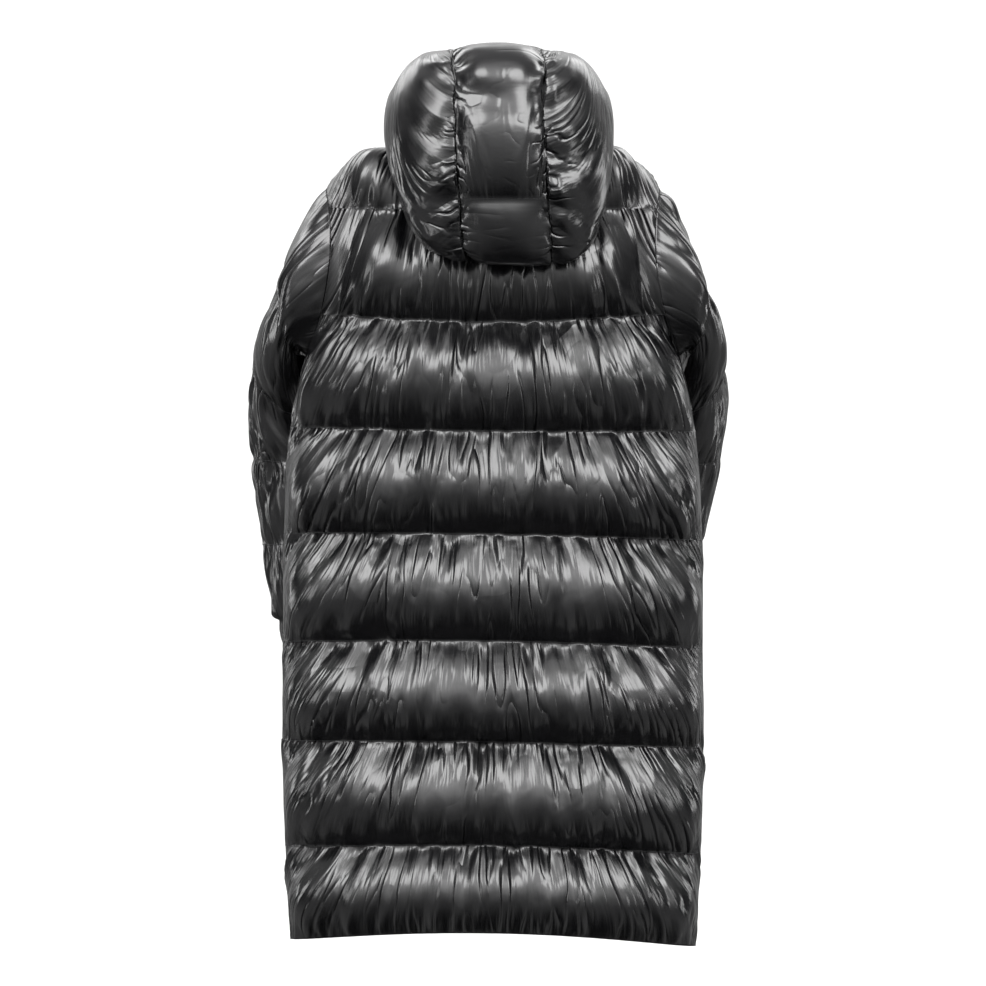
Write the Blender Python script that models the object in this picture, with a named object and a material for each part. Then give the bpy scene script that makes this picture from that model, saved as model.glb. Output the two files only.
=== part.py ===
# Long puffer coat, filled out with no wearer and held at the neck.
# Metres, +Z up. The front faces -Y, and +X is the wearer's left.
# The origin is the middle of the neck.
import bpy
import numpy as np
from mathutils import Vector

# Cloth and seams
SEAM_GAP = 0.0003
LINING_DEPTH = 0.004
SEAM_THICKNESS = 0.001
EDGE_MOVE = SEAM_GAP / 2
SMALL_STEP = 0.001  # shares of a piece's width, and of a channel, between the points that give a slope
WIDE_STEP = 0.03
HOOD_STEP = 0.08
HOOD_ANGLE_STEP = 3

# The body's seams, from the one under the yoke down to the hem.
# side_z: height at the side seam. back_z: height at the centre back.
# half_width: at the side seam. back_depth, front_depth: from the side seam's plane.
BODY_SEAMS = {
    "side_z": (-0.094, -0.243, -0.404, -0.556, -0.709, -0.849, -0.999, -1.131),
    "back_z": (-0.100, -0.255, -0.407, -0.551, -0.700, -0.841, -0.985, -1.108),
    "half_width": (0.239, 0.252, 0.286, 0.296, 0.297, 0.298, 0.294, 0.287),
    "back_depth": (0.096, 0.116, 0.118, 0.116, 0.116, 0.118, 0.120, 0.120),
    "front_depth": (0.090, 0.104, 0.104, 0.104, 0.106, 0.110, 0.114, 0.116),
}
SIDE_TILT = 0.0175  # the wearer's left hangs this much higher, per metre across
BANDS = 8  # the yoke and seven channels
STEPS_PER_BAND = 5
HALF_COLUMNS = 15
NECK_COLUMNS = 5

# Neck and shoulders
NECK_HALF_WIDTH = 0.085
NECK_BACK_Y = 0.068
NECK_FRONT_Y = -0.080
NECK_BACK_Z = 0.004
NECK_FRONT_Z = -0.045
NECK_TURN_HEIGHT = 0.3  # share of the yoke over which its wall turns level to meet the hood
NECK_TURN_WIDTH = 0.15
SHOULDER_POINT = (0.236, 0.0, -0.063)
SHOULDER_BULGE = 0.027  # its greatest height over a straight shoulder, two thirds of the way out
YOKE_FALL = {1: 0.0, -1: 0.45}  # how soon the back (1) and the front (-1) fall away from the neck

# Armholes: an ellipse from the shoulder point to the armpit, hollowed at its middle
ARMPIT_V = 2.345
ABOVE_ARMPIT_V = 2.24  # one more row, where the armhole bends in
ARMHOLE_HALF_DEPTH = 0.088
ARMHOLE_HOLLOW = 0.020
ARMHOLE_TURN = 55  # degrees of the panel's arc at the armhole
ARMHOLE_TURN_FROM = 1.5
SIDE_TURN = 90

# Padding
BACK_RISE = 0.040
FRONT_RISE = 0.034
YOKE_RISE = 0.026
UNDER_HOOD_RISE = 0.003
UNDER_HOOD = (0.5, 0.75)  # shares across the yoke where the hood stops pressing on it
BACK_TAPER_FROM = 0.60
FRONT_TAPER_FROM = 0.45
PLACKET_TAPER_WIDTH = 0.16
GATHER_RISE = 0.003

# Front placket and its press studs
PLACKET_HALF_WIDTH = 0.025
PLACKET_RISE = 0.008
PLACKET_COLUMNS = (-1.0, -0.5, 0.0, 0.5, 1.0)
PLACKET_HOOD_ROWS = (6.0, 5.5, 5.0, 4.5, 4.0, 3.0, 2.0, 1.0, 0.5)
STUD_RADIUS = 0.0075
STUD_THICKNESS = 0.003
STUD_LIFT = 0.0005
STUD_SIDES = 12
STUD_PLACES = (0.5, 1.5, 2.5, 3.5, 4.5, 5.5, 6.5)  # how far down the body, in channels

# Sleeves, a row for each section: the seams' centres, their turn from level to
# upright and their pitch, in degrees, and their radii across and front to back.
SLEEVE_COLUMNS = ("x", "y", "z", "turn", "pitch", "outer_radius", "side_radius")
LEFT_SLEEVE = (
    (0.280, -0.015, -0.243, 8, 12, 0.0550, 0.082),
    (0.297, -0.122, -0.345, 52, 30, 0.0560, 0.052),
    (0.286, -0.154, -0.447, 84, 6, 0.0600, 0.050),
    (0.273, -0.160, -0.565, 93, 2, 0.0560, 0.048),
    (0.260, -0.162, -0.672, 96, 0, 0.0500, 0.046),
    (0.252, -0.162, -0.715, 97, 0, 0.0460, 0.044),
)
RIGHT_SLEEVE = (
    (0.280, -0.015, -0.243, 8, 12, 0.0550, 0.082),
    (0.288, -0.124, -0.346, 52, 30, 0.0540, 0.052),
    (0.273, -0.162, -0.450, 86, 6, 0.0580, 0.050),
    (0.238, -0.178, -0.562, 97, 2, 0.0540, 0.048),
    (0.214, -0.184, -0.666, 99, 0, 0.0490, 0.046),
    (0.204, -0.184, -0.710, 99, 0, 0.0460, 0.044),
)
SLEEVE_RISE = 0.020
SLEEVE_OUTER_RISE = 0.004  # down its outer and inner edges
SLEEVE_RISE_SHARE = 0.16  # of the channel's own width, where that is less
SLEEVE_CLEAR = 0.003  # how far the first channel stands off the armhole's seam
CONTACT_ANGLE = 135  # degrees round from the outside, where a sleeve lies against the body
CONTACT_FLATTEN = 0.8

# Hood, a row for each loop from the neck seam to the rim of the opening
HOOD_LOOP_COLUMNS = (
    "half_width", "back_y", "side_y", "front_y", "back_z", "side_z", "front_z", "roundness",
)
HOOD_LOOPS = (
    (0.085, 0.068, 0.000, -0.080, 0.006, 0.002, -0.043, 1.00),
    (0.097, 0.090, 0.002, -0.094, 0.036, 0.022, -0.010, 1.00),
    (0.112, 0.153, 0.031, -0.104, -0.051, 0.033, 0.004, 0.90),
    (0.128, 0.212, 0.063, -0.104, -0.169, 0.038, 0.018, 0.80),
    (0.142, 0.264, 0.080, -0.101, -0.058, 0.046, 0.030, 0.75),
    (0.118, 0.247, 0.080, -0.090, 0.072, 0.080, 0.044, 0.75),
    (0.073, 0.182, 0.048, -0.076, 0.125, 0.116, 0.056, 0.90),
)
HOOD_LINING_DEPTH = 0.0025
HOOD_ROWS_PER_LOOP = 4
HOOD_EDGE_MOVE = 0.001
HOOD_NECK_ANGLES = {"strip": (-27, -18, -9, 0, 9, 18, 27), "side": (27, 36, 54, 72, 90)}
HOOD_STRIP_TURNS = (27, 24, 23, 21.5, 18.5, 24, 50)  # degrees from the centre to its seams, loop by loop
HOOD_STRIP_SHARES = (-1, -0.68, -0.34, 0, 0.34, 0.68, 1)  # its columns' places between its seams
HOOD_SIDE_SHARES = (0, 0.18, 0.44, 0.72, 1)  # a side's, from the strip's seam to straight aside
HOOD_FRONT_STEPS = 4
HOOD_CROSS_SEAMS = (0.0, 1.75, 3.75, 5.0, 6.0)  # places along the loops
HOOD_STRIP_RISE = 0.022
HOOD_SIDE_RISE = 0.028
HOOD_NAPE_RISE = 0.003
HOOD_FRONT_RISE = 0.010  # a side's, past its middle
HOOD_FRONT_FROM = (70, 110)  # degrees from the centre back between which it falls to that
HOOD_FULL_FROM = 3.0  # places along the loops between which a side is full
HOOD_FULL_TO = 4.5
HOOD_TAPER_ANGLE = 30  # degrees in from a side's edges over which it fills out
HOOD_NAPE_TO = 3.4  # place along the loops where the nape's press ends, behind
HOOD_NAPE_ANGLES = (40, 70, 110, 150)  # degrees: it lessens over the first two, and ends over the last two
HOOD_LEAN = (-0.008, 0.075)  # sideways at the neck's height, and more for each metre below it

# Finish
NYLON_COLOUR = (0.012, 0.012, 0.014, 1.0)
NYLON_ROUGHNESS = 0.28
STUD_COLOUR = (0.06, 0.06, 0.065, 1.0)
STUD_ROUGHNESS = 0.25


def smooth_curve(at, nodes, values):
    """A smooth curve through a table's rows, read at any place along it."""
    nodes = np.asarray(nodes, float)
    values = np.asarray(values, float)
    slopes = np.gradient(values, nodes, axis=0)
    at = np.clip(np.asarray(at, float), nodes[0], nodes[-1])
    cell = np.clip(np.searchsorted(nodes, at, side="right") - 1, 0, len(nodes) - 2)
    width = nodes[cell + 1] - nodes[cell]
    part = (at - nodes[cell]) / width
    if values.ndim > 1:
        width = width[..., None]
        part = part[..., None]
    rise_in = part * (1 - part) ** 2
    rise_out = part**2 * (part - 1)
    step = part**2 * (3 - 2 * part)
    return (
        values[cell] * (1 - step)
        + values[cell + 1] * step
        + width * (rise_in * slopes[cell] + rise_out * slopes[cell + 1])
    )


def unit(vectors):
    return vectors / np.linalg.norm(vectors, axis=-1, keepdims=True)


def upright(vectors):
    """The same directions with nothing sideways, for edges that lie along the centre front."""
    return unit(vectors * np.array([0.0, 1.0, 1.0]))


def seam_value(name, v):
    return smooth_curve(v, np.arange(1, BANDS + 1), BODY_SEAMS[name])


def side_height(v):
    return np.interp(v, np.arange(1, BANDS + 1), BODY_SEAMS["side_z"])


def armhole_frame():
    """Centre and upward radius of the armhole's ellipse."""
    shoulder = np.array(SHOULDER_POINT)
    armpit = np.array([seam_value("half_width", ARMPIT_V), 0.0, side_height(ARMPIT_V)])
    return (shoulder + armpit) / 2, (shoulder - armpit) / 2


def armhole_point(angle):
    """A point of the left armhole: 0 is the shoulder, a quarter turn the back."""
    centre, up = armhole_frame()
    angle = np.asarray(angle, float)[..., None]
    across = np.array([0.0, ARMHOLE_HALF_DEPTH, 0.0])
    hollow = np.array([ARMHOLE_HOLLOW, 0.0, 0.0])
    return centre + up * np.cos(angle) + across * np.sin(angle) - hollow * np.sin(angle) ** 2


def armhole_angle(v):
    """How far round the armhole each place down the panel's edge lies."""
    centre, up = armhole_frame()
    below = np.arccos(np.clip((side_height(np.maximum(v, 1.0)) - centre[2]) / up[2], -1, 1))
    return below * np.minimum(v, 1.0)


def edge_place(v):
    """Across and depth of a panel's side edge: the armhole's, then the side seam's."""
    edge = armhole_point(armhole_angle(v))
    in_armhole = v < ARMPIT_V
    across = np.where(in_armhole, edge[..., 0], seam_value("half_width", v))
    return across, np.where(in_armhole, edge[..., 1], 0.0)


def armhole_turn(v):
    """The panel's arc, from part of a quarter turn at the armhole to all of it at the side."""
    ease = np.clip((v - ARMHOLE_TURN_FROM) / (ARMPIT_V - ARMHOLE_TURN_FROM), 0, 1)
    ease = ease * ease * (3 - 2 * ease)
    return np.radians(ARMHOLE_TURN + (SIDE_TURN - ARMHOLE_TURN) * ease)


def below_yoke(u, v, side):
    """A body panel from the yoke seam down: side is 1 for the back, -1 for the front."""
    across = np.abs(u)
    edge_x, edge_y = edge_place(v)
    turn = armhole_turn(v)
    depth = seam_value("back_depth" if side > 0 else "front_depth", v)
    round_part = (np.cos(across * turn) - np.cos(turn)) / (1 - np.cos(turn))
    x = edge_x * np.sin(across * turn) / np.sin(turn)
    y = edge_y + (depth - edge_y) * round_part
    side_z = side_height(v)
    centre_z = np.interp(v, np.arange(1, BANDS + 1), BODY_SEAMS["back_z"])
    droop = (centre_z - side_z) * np.cos(across * np.pi / 2) ** 2 if side > 0 else 0.0
    tilt = SIDE_TILT * np.clip(v - ARMPIT_V, 0, 1) * x * np.sign(u)
    return np.stack([x * np.sign(u), side * y, side_z + droop + tilt], axis=-1)


def top_edge(u, side):
    """The neck edge and, past the neck's corner, the shoulder line."""
    across = np.abs(u)
    corner = NECK_COLUMNS / HALF_COLUMNS
    angle = np.clip(across / corner, 0, 1) * np.pi / 2
    neck_y = NECK_BACK_Y if side > 0 else -NECK_FRONT_Y
    neck_z = NECK_BACK_Z if side > 0 else NECK_FRONT_Z
    along = np.clip((across - corner) / (1 - corner), 0, None)
    x = NECK_HALF_WIDTH * np.sin(angle) + (SHOULDER_POINT[0] - NECK_HALF_WIDTH) * along
    y = side * neck_y * np.cos(angle)
    z = neck_z * np.cos(angle) ** 2 + SHOULDER_POINT[2] * along
    z = z + SHOULDER_BULGE * 27 / 4 * along**2 * np.clip(1 - along, 0, None)
    return np.stack([x * np.sign(u), y, z], axis=-1)


def yoke_corner(top, low, side):
    """The bend between an upper and a lower point of the yoke."""
    height = top[..., 2] + YOKE_FALL[side] * (low[..., 2] - top[..., 2])
    return np.stack([(top[..., 0] + low[..., 0]) / 2, low[..., 1], height], axis=-1)


def yoke(u, v, side):
    """From the neck and shoulder down to the yoke seam."""
    u, v = np.broadcast_arrays(np.asarray(u, float), np.asarray(v, float))
    across = np.abs(u)
    top = top_edge(u, side)
    low = below_yoke(u, np.ones_like(v), side)
    corner = yoke_corner(top, low, side)
    part = v[..., None]
    bent = top * (1 - part) ** 2 + 2 * corner * part * (1 - part) + low * part**2
    end_angle = armhole_angle(np.ones_like(v))
    mirror = np.stack([np.sign(u), np.full_like(v, side), np.ones_like(v)], axis=-1)
    arc = armhole_point(armhole_angle(v)) * mirror
    end_top = np.array(SHOULDER_POINT) * mirror
    end_low = armhole_point(end_angle) * mirror
    end_corner = yoke_corner(end_top, end_low, side)
    end_bent = end_top * (1 - part) ** 2 + 2 * end_corner * part * (1 - part) + end_low * part**2
    return bent + across[..., None] ** 4 * (arc - end_bent)


def body_base(u, v, side):
    """The plain surface that the padding rises from."""
    u, v = np.broadcast_arrays(np.asarray(u, float), np.asarray(v, float))
    u = np.where(u == 0, 1e-9, u)
    lower = below_yoke(u, np.maximum(v, 1.0), side)
    upper = yoke(u, np.clip(v, 0, 1), side)
    return np.where((v < 1)[..., None], upper, lower)


def body_normal(u, v, side):
    """Straight out from the surface but, at the neck's edge, level and away from the neck."""
    along_u = body_base(u + SMALL_STEP, v, side) - body_base(u - SMALL_STEP, v, side)
    high = np.clip(v - WIDE_STEP, 0, BANDS)
    low = np.clip(v + WIDE_STEP, 0, BANDS)
    along_v = body_base(u, low, side) - body_base(u, high, side)
    out = side * unit(np.cross(along_u, along_v))
    corner = NECK_COLUMNS / HALF_COLUMNS
    angle = np.clip(u / corner, -1, 1) * np.pi / 2
    level = np.stack([np.sin(angle), side * np.cos(angle), 0 * angle], axis=-1)
    beyond = np.clip((np.abs(u) - corner) / NECK_TURN_WIDTH, 0, 1)
    near_top = np.clip(1 - v / NECK_TURN_HEIGHT, 0, 1)
    out = out + (level - out) * (near_top * (1 - beyond))[..., None]
    on_shoulder = np.clip(4 * (np.abs(u) / corner) - 3, 0, 1)
    out[..., 1] *= 1 - near_top * on_shoulder
    return unit(out)


def band_rows(bands, steps):
    """Row places in every band, closer together near the seams."""
    within = (1 - np.cos(np.linspace(0, np.pi, steps + 1)[:-1])) / 2
    rows = (np.arange(bands)[:, None] + within).ravel()
    return np.append(rows, bands)


def body_rows():
    return np.sort(np.append(band_rows(BANDS, STEPS_PER_BAND), ABOVE_ARMPIT_V))


def puff(part):
    """The height of a channel across its width, 0 at its seams and 1 at its middle."""
    return np.sin(np.arccos(np.clip(1 - 2 * part, -1, 1)))


def placket_edge(v):
    """How far across a front the placket's edge lies, as a share of its width."""
    below = np.maximum(v, 1.0)
    turn = armhole_turn(below)
    at_seam = np.arcsin(PLACKET_HALF_WIDTH * np.sin(turn) / edge_place(below)[0]) / turn
    at_neck = np.arcsin(PLACKET_HALF_WIDTH / NECK_HALF_WIDTH) * NECK_COLUMNS / HALF_COLUMNS / (np.pi / 2)
    return np.where(v < 1, at_neck + (at_seam - at_neck) * np.clip(v, 0, 1), at_seam)


def padding(u, v, side):
    """How far the padding stands at each place, from 0 at its edges to 1."""
    start = BACK_TAPER_FROM if side > 0 else FRONT_TAPER_FROM
    part = np.clip((np.abs(u) - start) / (1 - start), 0, 1)
    taper = np.cos(part * np.pi / 2) ** 3
    if side > 0:
        return taper
    beside = np.clip((np.abs(u) - placket_edge(v)) / PLACKET_TAPER_WIDTH, 0, 1)
    return taper * np.sin(beside * np.pi / 2)


def body_rise(u, v, side):
    part = v - np.floor(v)
    clear_of_hood = np.clip((np.abs(u) - UNDER_HOOD[0]) / (UNDER_HOOD[1] - UNDER_HOOD[0]), 0, 1)
    yoke_rise = UNDER_HOOD_RISE + (YOKE_RISE - UNDER_HOOD_RISE) * clear_of_hood
    full = np.where(v < 1, yoke_rise, BACK_RISE if side > 0 else FRONT_RISE)
    return full * puff(part) * padding(u, v, side)


def gathers(columns, v, taper):
    """Alternate columns pinched in beside each seam."""
    part = v - np.floor(v)
    near = np.clip(4 * part * (1 - part), 0, 1)
    weight = np.sqrt(near) * (1 - 0.7 * near)
    sign = np.where(columns % 2 == 0, 1.0, -1.0)
    return GATHER_RISE * 2 * sign * weight * taper


def open_seams(base, move=EDGE_MOVE):
    """Draws a panel's side columns, and its top row, in by half the gap of a seam."""
    base[:, 0] += move * unit(base[:, 1] - base[:, 0])
    base[:, -1] += move * unit(base[:, -2] - base[:, -1])
    if len(base) > 1:
        base[0] += move * unit(base[1] - base[0])


def body_panel_grids(u, v, side):
    """Outer and lining points of a body panel and its normals, a row for each place down it."""
    base = body_base(u, v, side)
    open_seams(base)
    normal = body_normal(u, v, side)
    if side < 0:
        centre = 0 if u[0, 0] > 0 else -1
        normal[:, centre] = upright(normal[:, centre])
    rise = SEAM_THICKNESS + body_rise(u, v, side)
    pinch = padding(u, v, side) * np.where((v < 1) & (np.abs(u) < UNDER_HOOD[0]), 0, 1)
    rise = rise + gathers(np.arange(u.shape[1])[None, :], v, pinch)
    outer = base + normal * rise[..., None]
    lining = base - normal * LINING_DEPTH
    return outer, lining, normal


def lining_rows(dense, count):
    """Rows kept in a lining: every one as far as a seam, then only the seams."""
    return list(range(dense)) + list(range(dense, count, STEPS_PER_BAND))


def body_lining_rows():
    return lining_rows(3 * STEPS_PER_BAND + 1, len(body_rows()))


def make_material(name, colour, roughness, metallic):
    material = bpy.data.materials.new(name)
    material.use_nodes = True
    finish = material.node_tree.nodes["Principled BSDF"]
    finish.inputs["Base Color"].default_value = colour
    finish.inputs["Roughness"].default_value = roughness
    finish.inputs["Metallic"].default_value = metallic
    return material


def add_wall(name, outer, lining, kept_rows, closed, collection, turned=()):
    """A wall between an outer grid and a lining grid with fewer rows.

    turned names the faces that are split the other way: "rim" at the top, or "wall" for all others.
    """
    row_count, column_count = outer.shape[:2]
    lining = lining[kept_rows]
    points = np.concatenate([outer.reshape(-1, 3), lining.reshape(-1, 3)])
    shift = row_count * column_count

    def outer_at(row, column):
        return row * column_count + column % column_count

    def lining_at(row, column):
        return shift + row * column_count + column % column_count

    walls = []
    top_rim = []
    spans = column_count if closed else column_count - 1
    last = len(kept_rows) - 1
    for column in range(spans):
        after = column + 1
        for row in range(row_count - 1):
            walls.append((outer_at(row, column), outer_at(row + 1, column),
                          outer_at(row + 1, after), outer_at(row, after)))
        for row in range(last):
            walls.append((lining_at(row, after), lining_at(row + 1, after),
                          lining_at(row + 1, column), lining_at(row, column)))
        walls.append((outer_at(row_count - 1, column), lining_at(last, column),
                      lining_at(last, after), outer_at(row_count - 1, after)))
        top_rim.append((outer_at(0, after), lining_at(0, after), lining_at(0, column), outer_at(0, column)))
    if "wall" in turned:
        walls = [face[1:] + face[:1] for face in walls]
    if "rim" in turned:
        top_rim = [face[1:] + face[:1] for face in top_rim]
    faces = walls + top_rim
    if not closed:
        for end, flip in ((0, True), (column_count - 1, False)):
            for row in range(len(kept_rows) - 1):
                start, stop = kept_rows[row], kept_rows[row + 1]
                rim = [lining_at(row + 1, end) if not flip else lining_at(row, end)]
                rim.append(lining_at(row, end) if not flip else lining_at(row + 1, end))
                outer_run = range(start, stop + 1) if not flip else range(stop, start - 1, -1)
                rim.extend(outer_at(place, end) for place in outer_run)
                faces.append(tuple(rim))
    mesh = bpy.data.meshes.new(name)
    mesh.from_pydata([tuple(point) for point in points], [], faces)
    mesh.validate()
    mesh.materials.append(make_material(name + " nylon", NYLON_COLOUR, NYLON_ROUGHNESS, 0.0))
    wall = bpy.data.objects.new(name, mesh)
    collection.objects.link(wall)
    return wall


def clear_scene():
    for item in list(bpy.data.objects):
        bpy.data.objects.remove(item, do_unlink=True)


def make_collection(name):
    collection = bpy.data.collections.new(name)
    bpy.context.scene.collection.children.link(collection)
    return collection


def front_places(rows):
    """The fronts' columns: all the neck's, then the rest, from the placket's edge out."""
    edge = placket_edge(rows)[:, None]
    corner = NECK_COLUMNS / HALF_COLUMNS
    shares = np.arange(1, NECK_COLUMNS) / (NECK_COLUMNS - 1)
    near = edge + (corner - edge) * np.append(0, shares)
    far = np.arange(NECK_COLUMNS + 1, HALF_COLUMNS + 1) / HALF_COLUMNS * np.ones((len(rows), 1))
    return np.concatenate([near, far], axis=1)


def add_body(collection):
    rows = body_rows()
    back_u = np.linspace(1, -1, 2 * HALF_COLUMNS + 1)[None, :] * np.ones((len(rows), 1))
    left_u = front_places(rows)
    panels = {
        "back_panel": (back_u, 1),
        "front_left": (left_u, -1),
        "front_right": (-left_u[:, ::-1], -1),
    }
    grids = {}
    for name, (u, side) in panels.items():
        v = rows[:, None] * np.ones_like(u)
        grids[name] = body_panel_grids(u, v, side)
        outer, lining, _ = grids[name]
        turned = ("rim",) if name == "front_right" else ()
        add_wall(name, outer, lining, body_lining_rows(), False, collection, turned)
    return grids


def armhole_ring(grids, side):
    """The armhole edges of the back and front as one loop, shoulder, back, armpit, front."""
    last = 2 * STEPS_PER_BAND + 3
    back_outer, back_lining, back_normal = grids["back_panel"]
    front = grids["front_left" if side > 0 else "front_right"]
    back_column = 0 if side > 0 else -1
    front_column = -1 if side > 0 else 0
    rings = []
    for back, other in zip((back_outer, back_lining, back_normal), front):
        down = back[: last + 1, back_column]
        up = other[last::-1, front_column]
        ends = [(down[0] + up[-1]) / 2, (down[-1] + up[0]) / 2]
        ring = np.concatenate([ends[:1], down[1:-1], ends[1:], up[1:-1]])
        rings.append(ring)
    return rings


def away_from_panels(ring, normal, side):
    """The direction off the armhole's edge, lying in the panels' own surface."""
    tangent = np.roll(ring, -1, axis=0) - np.roll(ring, 1, axis=0)
    return side * unit(np.cross(tangent, normal))


def sleeve_grids(stations, grids, side):
    outer_edge, lining_edge, edge_normal = armhole_ring(grids, side)
    away = away_from_panels(outer_edge, edge_normal, side)
    centre, up = armhole_frame()
    start = (*centre, np.degrees(np.arctan2(up[0], up[2])), 0, np.linalg.norm(up), ARMHOLE_HALF_DEPTH)
    bands = len(stations)
    rows = band_rows(bands, STEPS_PER_BAND)
    values = smooth_curve(rows, np.arange(bands + 1), [start, *stations])
    place = dict(zip(SLEEVE_COLUMNS, values.T))
    half = outer_edge.shape[0] // 2
    down = armhole_angle(body_rows()[: half + 1])
    ring_angle = np.concatenate([down, 2 * np.pi - down[-2:0:-1]])
    even = np.linspace(0, 2 * np.pi, len(ring_angle), endpoint=False)
    mix = np.clip(rows / 2, 0, 1)[:, None]
    mix = mix * mix * (3 - 2 * mix)
    angle = ring_angle * (1 - mix) + even * mix
    turn = np.radians(place["turn"])
    pitch = np.radians(place["pitch"])
    upward = np.stack([np.sin(turn), 0 * turn, np.cos(turn)], axis=-1)
    along = np.stack([np.cos(turn), 0 * turn, -np.sin(turn)], axis=-1)
    backward = np.cos(pitch)[:, None] * np.array([0.0, 1.0, 0.0]) + np.sin(pitch)[:, None] * along
    cosine = np.cos(angle)[..., None]
    sine = np.sin(angle)[..., None]
    middle = np.stack([place["x"], place["y"], place["z"]], axis=-1)
    base = (
        middle[:, None]
        + upward[:, None] * place["outer_radius"][:, None, None] * cosine
        + backward[:, None] * place["side_radius"][:, None, None] * sine
    )
    fade = np.clip(1 - rows, 0, 1)[:, None, None] ** 2
    base = base + fade * (armhole_point(ring_angle) - base[0])
    base[..., 0] += SLEEVE_CLEAR * (np.clip(rows / rows[1], 0, 1) * np.clip(2 - rows, 0, 1))[:, None]
    along_sleeve = np.gradient(base, rows, axis=0)
    around = np.roll(base, -1, axis=1) - np.roll(base, 1, axis=1)
    mirror = np.array([side, 1.0, 1.0])
    normal = unit(np.cross(along_sleeve, around)) * mirror
    base = base * mirror
    part = rows - np.floor(rows)
    seam_rings = base[::STEPS_PER_BAND]
    widths = np.linalg.norm(np.diff(seam_rings, axis=0), axis=-1)
    band = np.minimum(np.floor(rows).astype(int), bands - 1)
    widest = SLEEVE_OUTER_RISE + (SLEEVE_RISE - SLEEVE_OUTER_RISE) * np.sin(angle) ** 4
    full = np.minimum(widest, SLEEVE_RISE_SHARE * widths[band])
    contact = np.clip(np.cos(angle - np.radians(CONTACT_ANGLE)), 0, 1)
    full = full * (1 - CONTACT_FLATTEN * contact)
    rise = SEAM_THICKNESS + full * puff(part)[:, None]
    pinch = full / SLEEVE_RISE
    rise = rise + gathers(np.arange(len(ring_angle))[None, :], rows[:, None], pinch)
    outer = base + normal * rise[..., None]
    lining = base - normal * LINING_DEPTH
    outer[0] = outer_edge + SEAM_GAP * away
    lining[0] = lining_edge + SEAM_GAP * away
    return outer, lining


def add_sleeve(name, stations, grids, side, collection):
    outer, lining = sleeve_grids(stations, grids, side)
    if side < 0:
        outer, lining = outer[:, ::-1], lining[:, ::-1]
    kept = lining_rows(2 * STEPS_PER_BAND, len(outer))
    turned = ("wall",) if side < 0 else ()
    add_wall(name, outer, lining, kept, True, collection, turned)


def hood_loop(t):
    """The hood's loop at a place between neck and rim, as one value for each column."""
    row = smooth_curve(t, np.arange(len(HOOD_LOOPS)), HOOD_LOOPS)
    return dict(zip(HOOD_LOOP_COLUMNS, np.moveaxis(row, -1, 0)))


def hood_front_angle(t):
    """Where the hood's front edge meets the placket, in degrees from the centre back."""
    loop = hood_loop(t)
    return 180 - np.degrees(np.arcsin((PLACKET_HALF_WIDTH / loop["half_width"]) ** (1 / loop["roundness"])))


def hood_base(angle, t):
    """The hood's plain surface: angle in degrees from the centre back, t from neck to rim."""
    loop = hood_loop(t)
    turned = np.radians(angle)
    back = np.cos(turned)
    droop = np.sin(np.clip(back, 0, 1) * np.pi / 2)
    front = np.clip(-back, 0, 1)
    side = np.sin(turned)
    x = loop["half_width"] * np.sign(side) * np.abs(side) ** loop["roundness"]
    y = loop["side_y"] + np.where(back > 0, loop["back_y"] - loop["side_y"], loop["side_y"] - loop["front_y"]) * back
    z = loop["side_z"] + (loop["back_z"] - loop["side_z"]) * droop + (loop["front_z"] - loop["side_z"]) * front**2
    lean = HOOD_LEAN[0] * np.clip(t, 0, 1) + HOOD_LEAN[1] * np.minimum(z, 0) * np.clip(t - 1, 0, 1)
    return np.stack([x + lean * np.clip(1 + back, 0, 1), y, z], axis=-1)


def hood_normal(angle, t):
    last = len(HOOD_LOOPS) - 1
    after = hood_base(angle, np.clip(t + HOOD_STEP, 0, last))
    before = hood_base(angle, np.clip(t - HOOD_STEP, 0, last))
    along_t = after - before
    along_angle = hood_base(angle + HOOD_ANGLE_STEP, t) - hood_base(angle - HOOD_ANGLE_STEP, t)
    return unit(np.cross(along_t, along_angle))


def hood_strip_turn(t):
    """How far round from the centre back the strip's seams lie, in degrees."""
    return smooth_curve(t, np.arange(len(HOOD_LOOPS)), HOOD_STRIP_TURNS)


def hood_rise(angle, t, strip):
    """The padding's height on the strip, between its cross seams, or on a side."""
    across = np.abs(angle)
    seam_angle = hood_strip_turn(t)
    if strip:
        seams = np.array(HOOD_CROSS_SEAMS)
        cell = np.clip(np.searchsorted(seams, t, side="right") - 1, 0, len(seams) - 2)
        part = (t - seams[cell]) / (seams[cell + 1] - seams[cell])
        edge = puff(part) * np.sqrt(np.clip(1 - (across / seam_angle) ** 2, 0, 1))
        full = HOOD_STRIP_RISE
    else:
        neck_part = np.sin(np.clip((t - 1) / (HOOD_FULL_FROM - 1), 0, 1) * np.pi / 2)
        rim_part = puff(0.5 + np.clip((t - HOOD_FULL_TO) / (len(HOOD_LOOPS) - 1 - HOOD_FULL_TO), 0, 1) / 2)
        from_strip = np.clip((across - seam_angle) / HOOD_TAPER_ANGLE, 0, 1)
        from_front = np.clip((hood_front_angle(t) - across) / HOOD_TAPER_ANGLE, 0, 1)
        edge = neck_part * rim_part * puff(from_strip / 2) * puff(from_front / 2)
        forward = np.clip((across - HOOD_FRONT_FROM[0]) / (HOOD_FRONT_FROM[1] - HOOD_FRONT_FROM[0]), 0, 1)
        full = HOOD_SIDE_RISE + (HOOD_FRONT_RISE - HOOD_SIDE_RISE) * forward
    aside_from, aside_to, ends_from, ends_to = HOOD_NAPE_ANGLES
    aside = np.clip((across - aside_from) / (aside_to - aside_from), 0, 1)
    ends = np.clip((ends_to - across) / (ends_to - ends_from), 0, 1)
    nape = np.clip((HOOD_NAPE_TO - t) / (1 + aside) + aside / 2, 0, 1) * ends
    full = full + (HOOD_NAPE_RISE - full) * nape
    return full * edge


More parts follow.
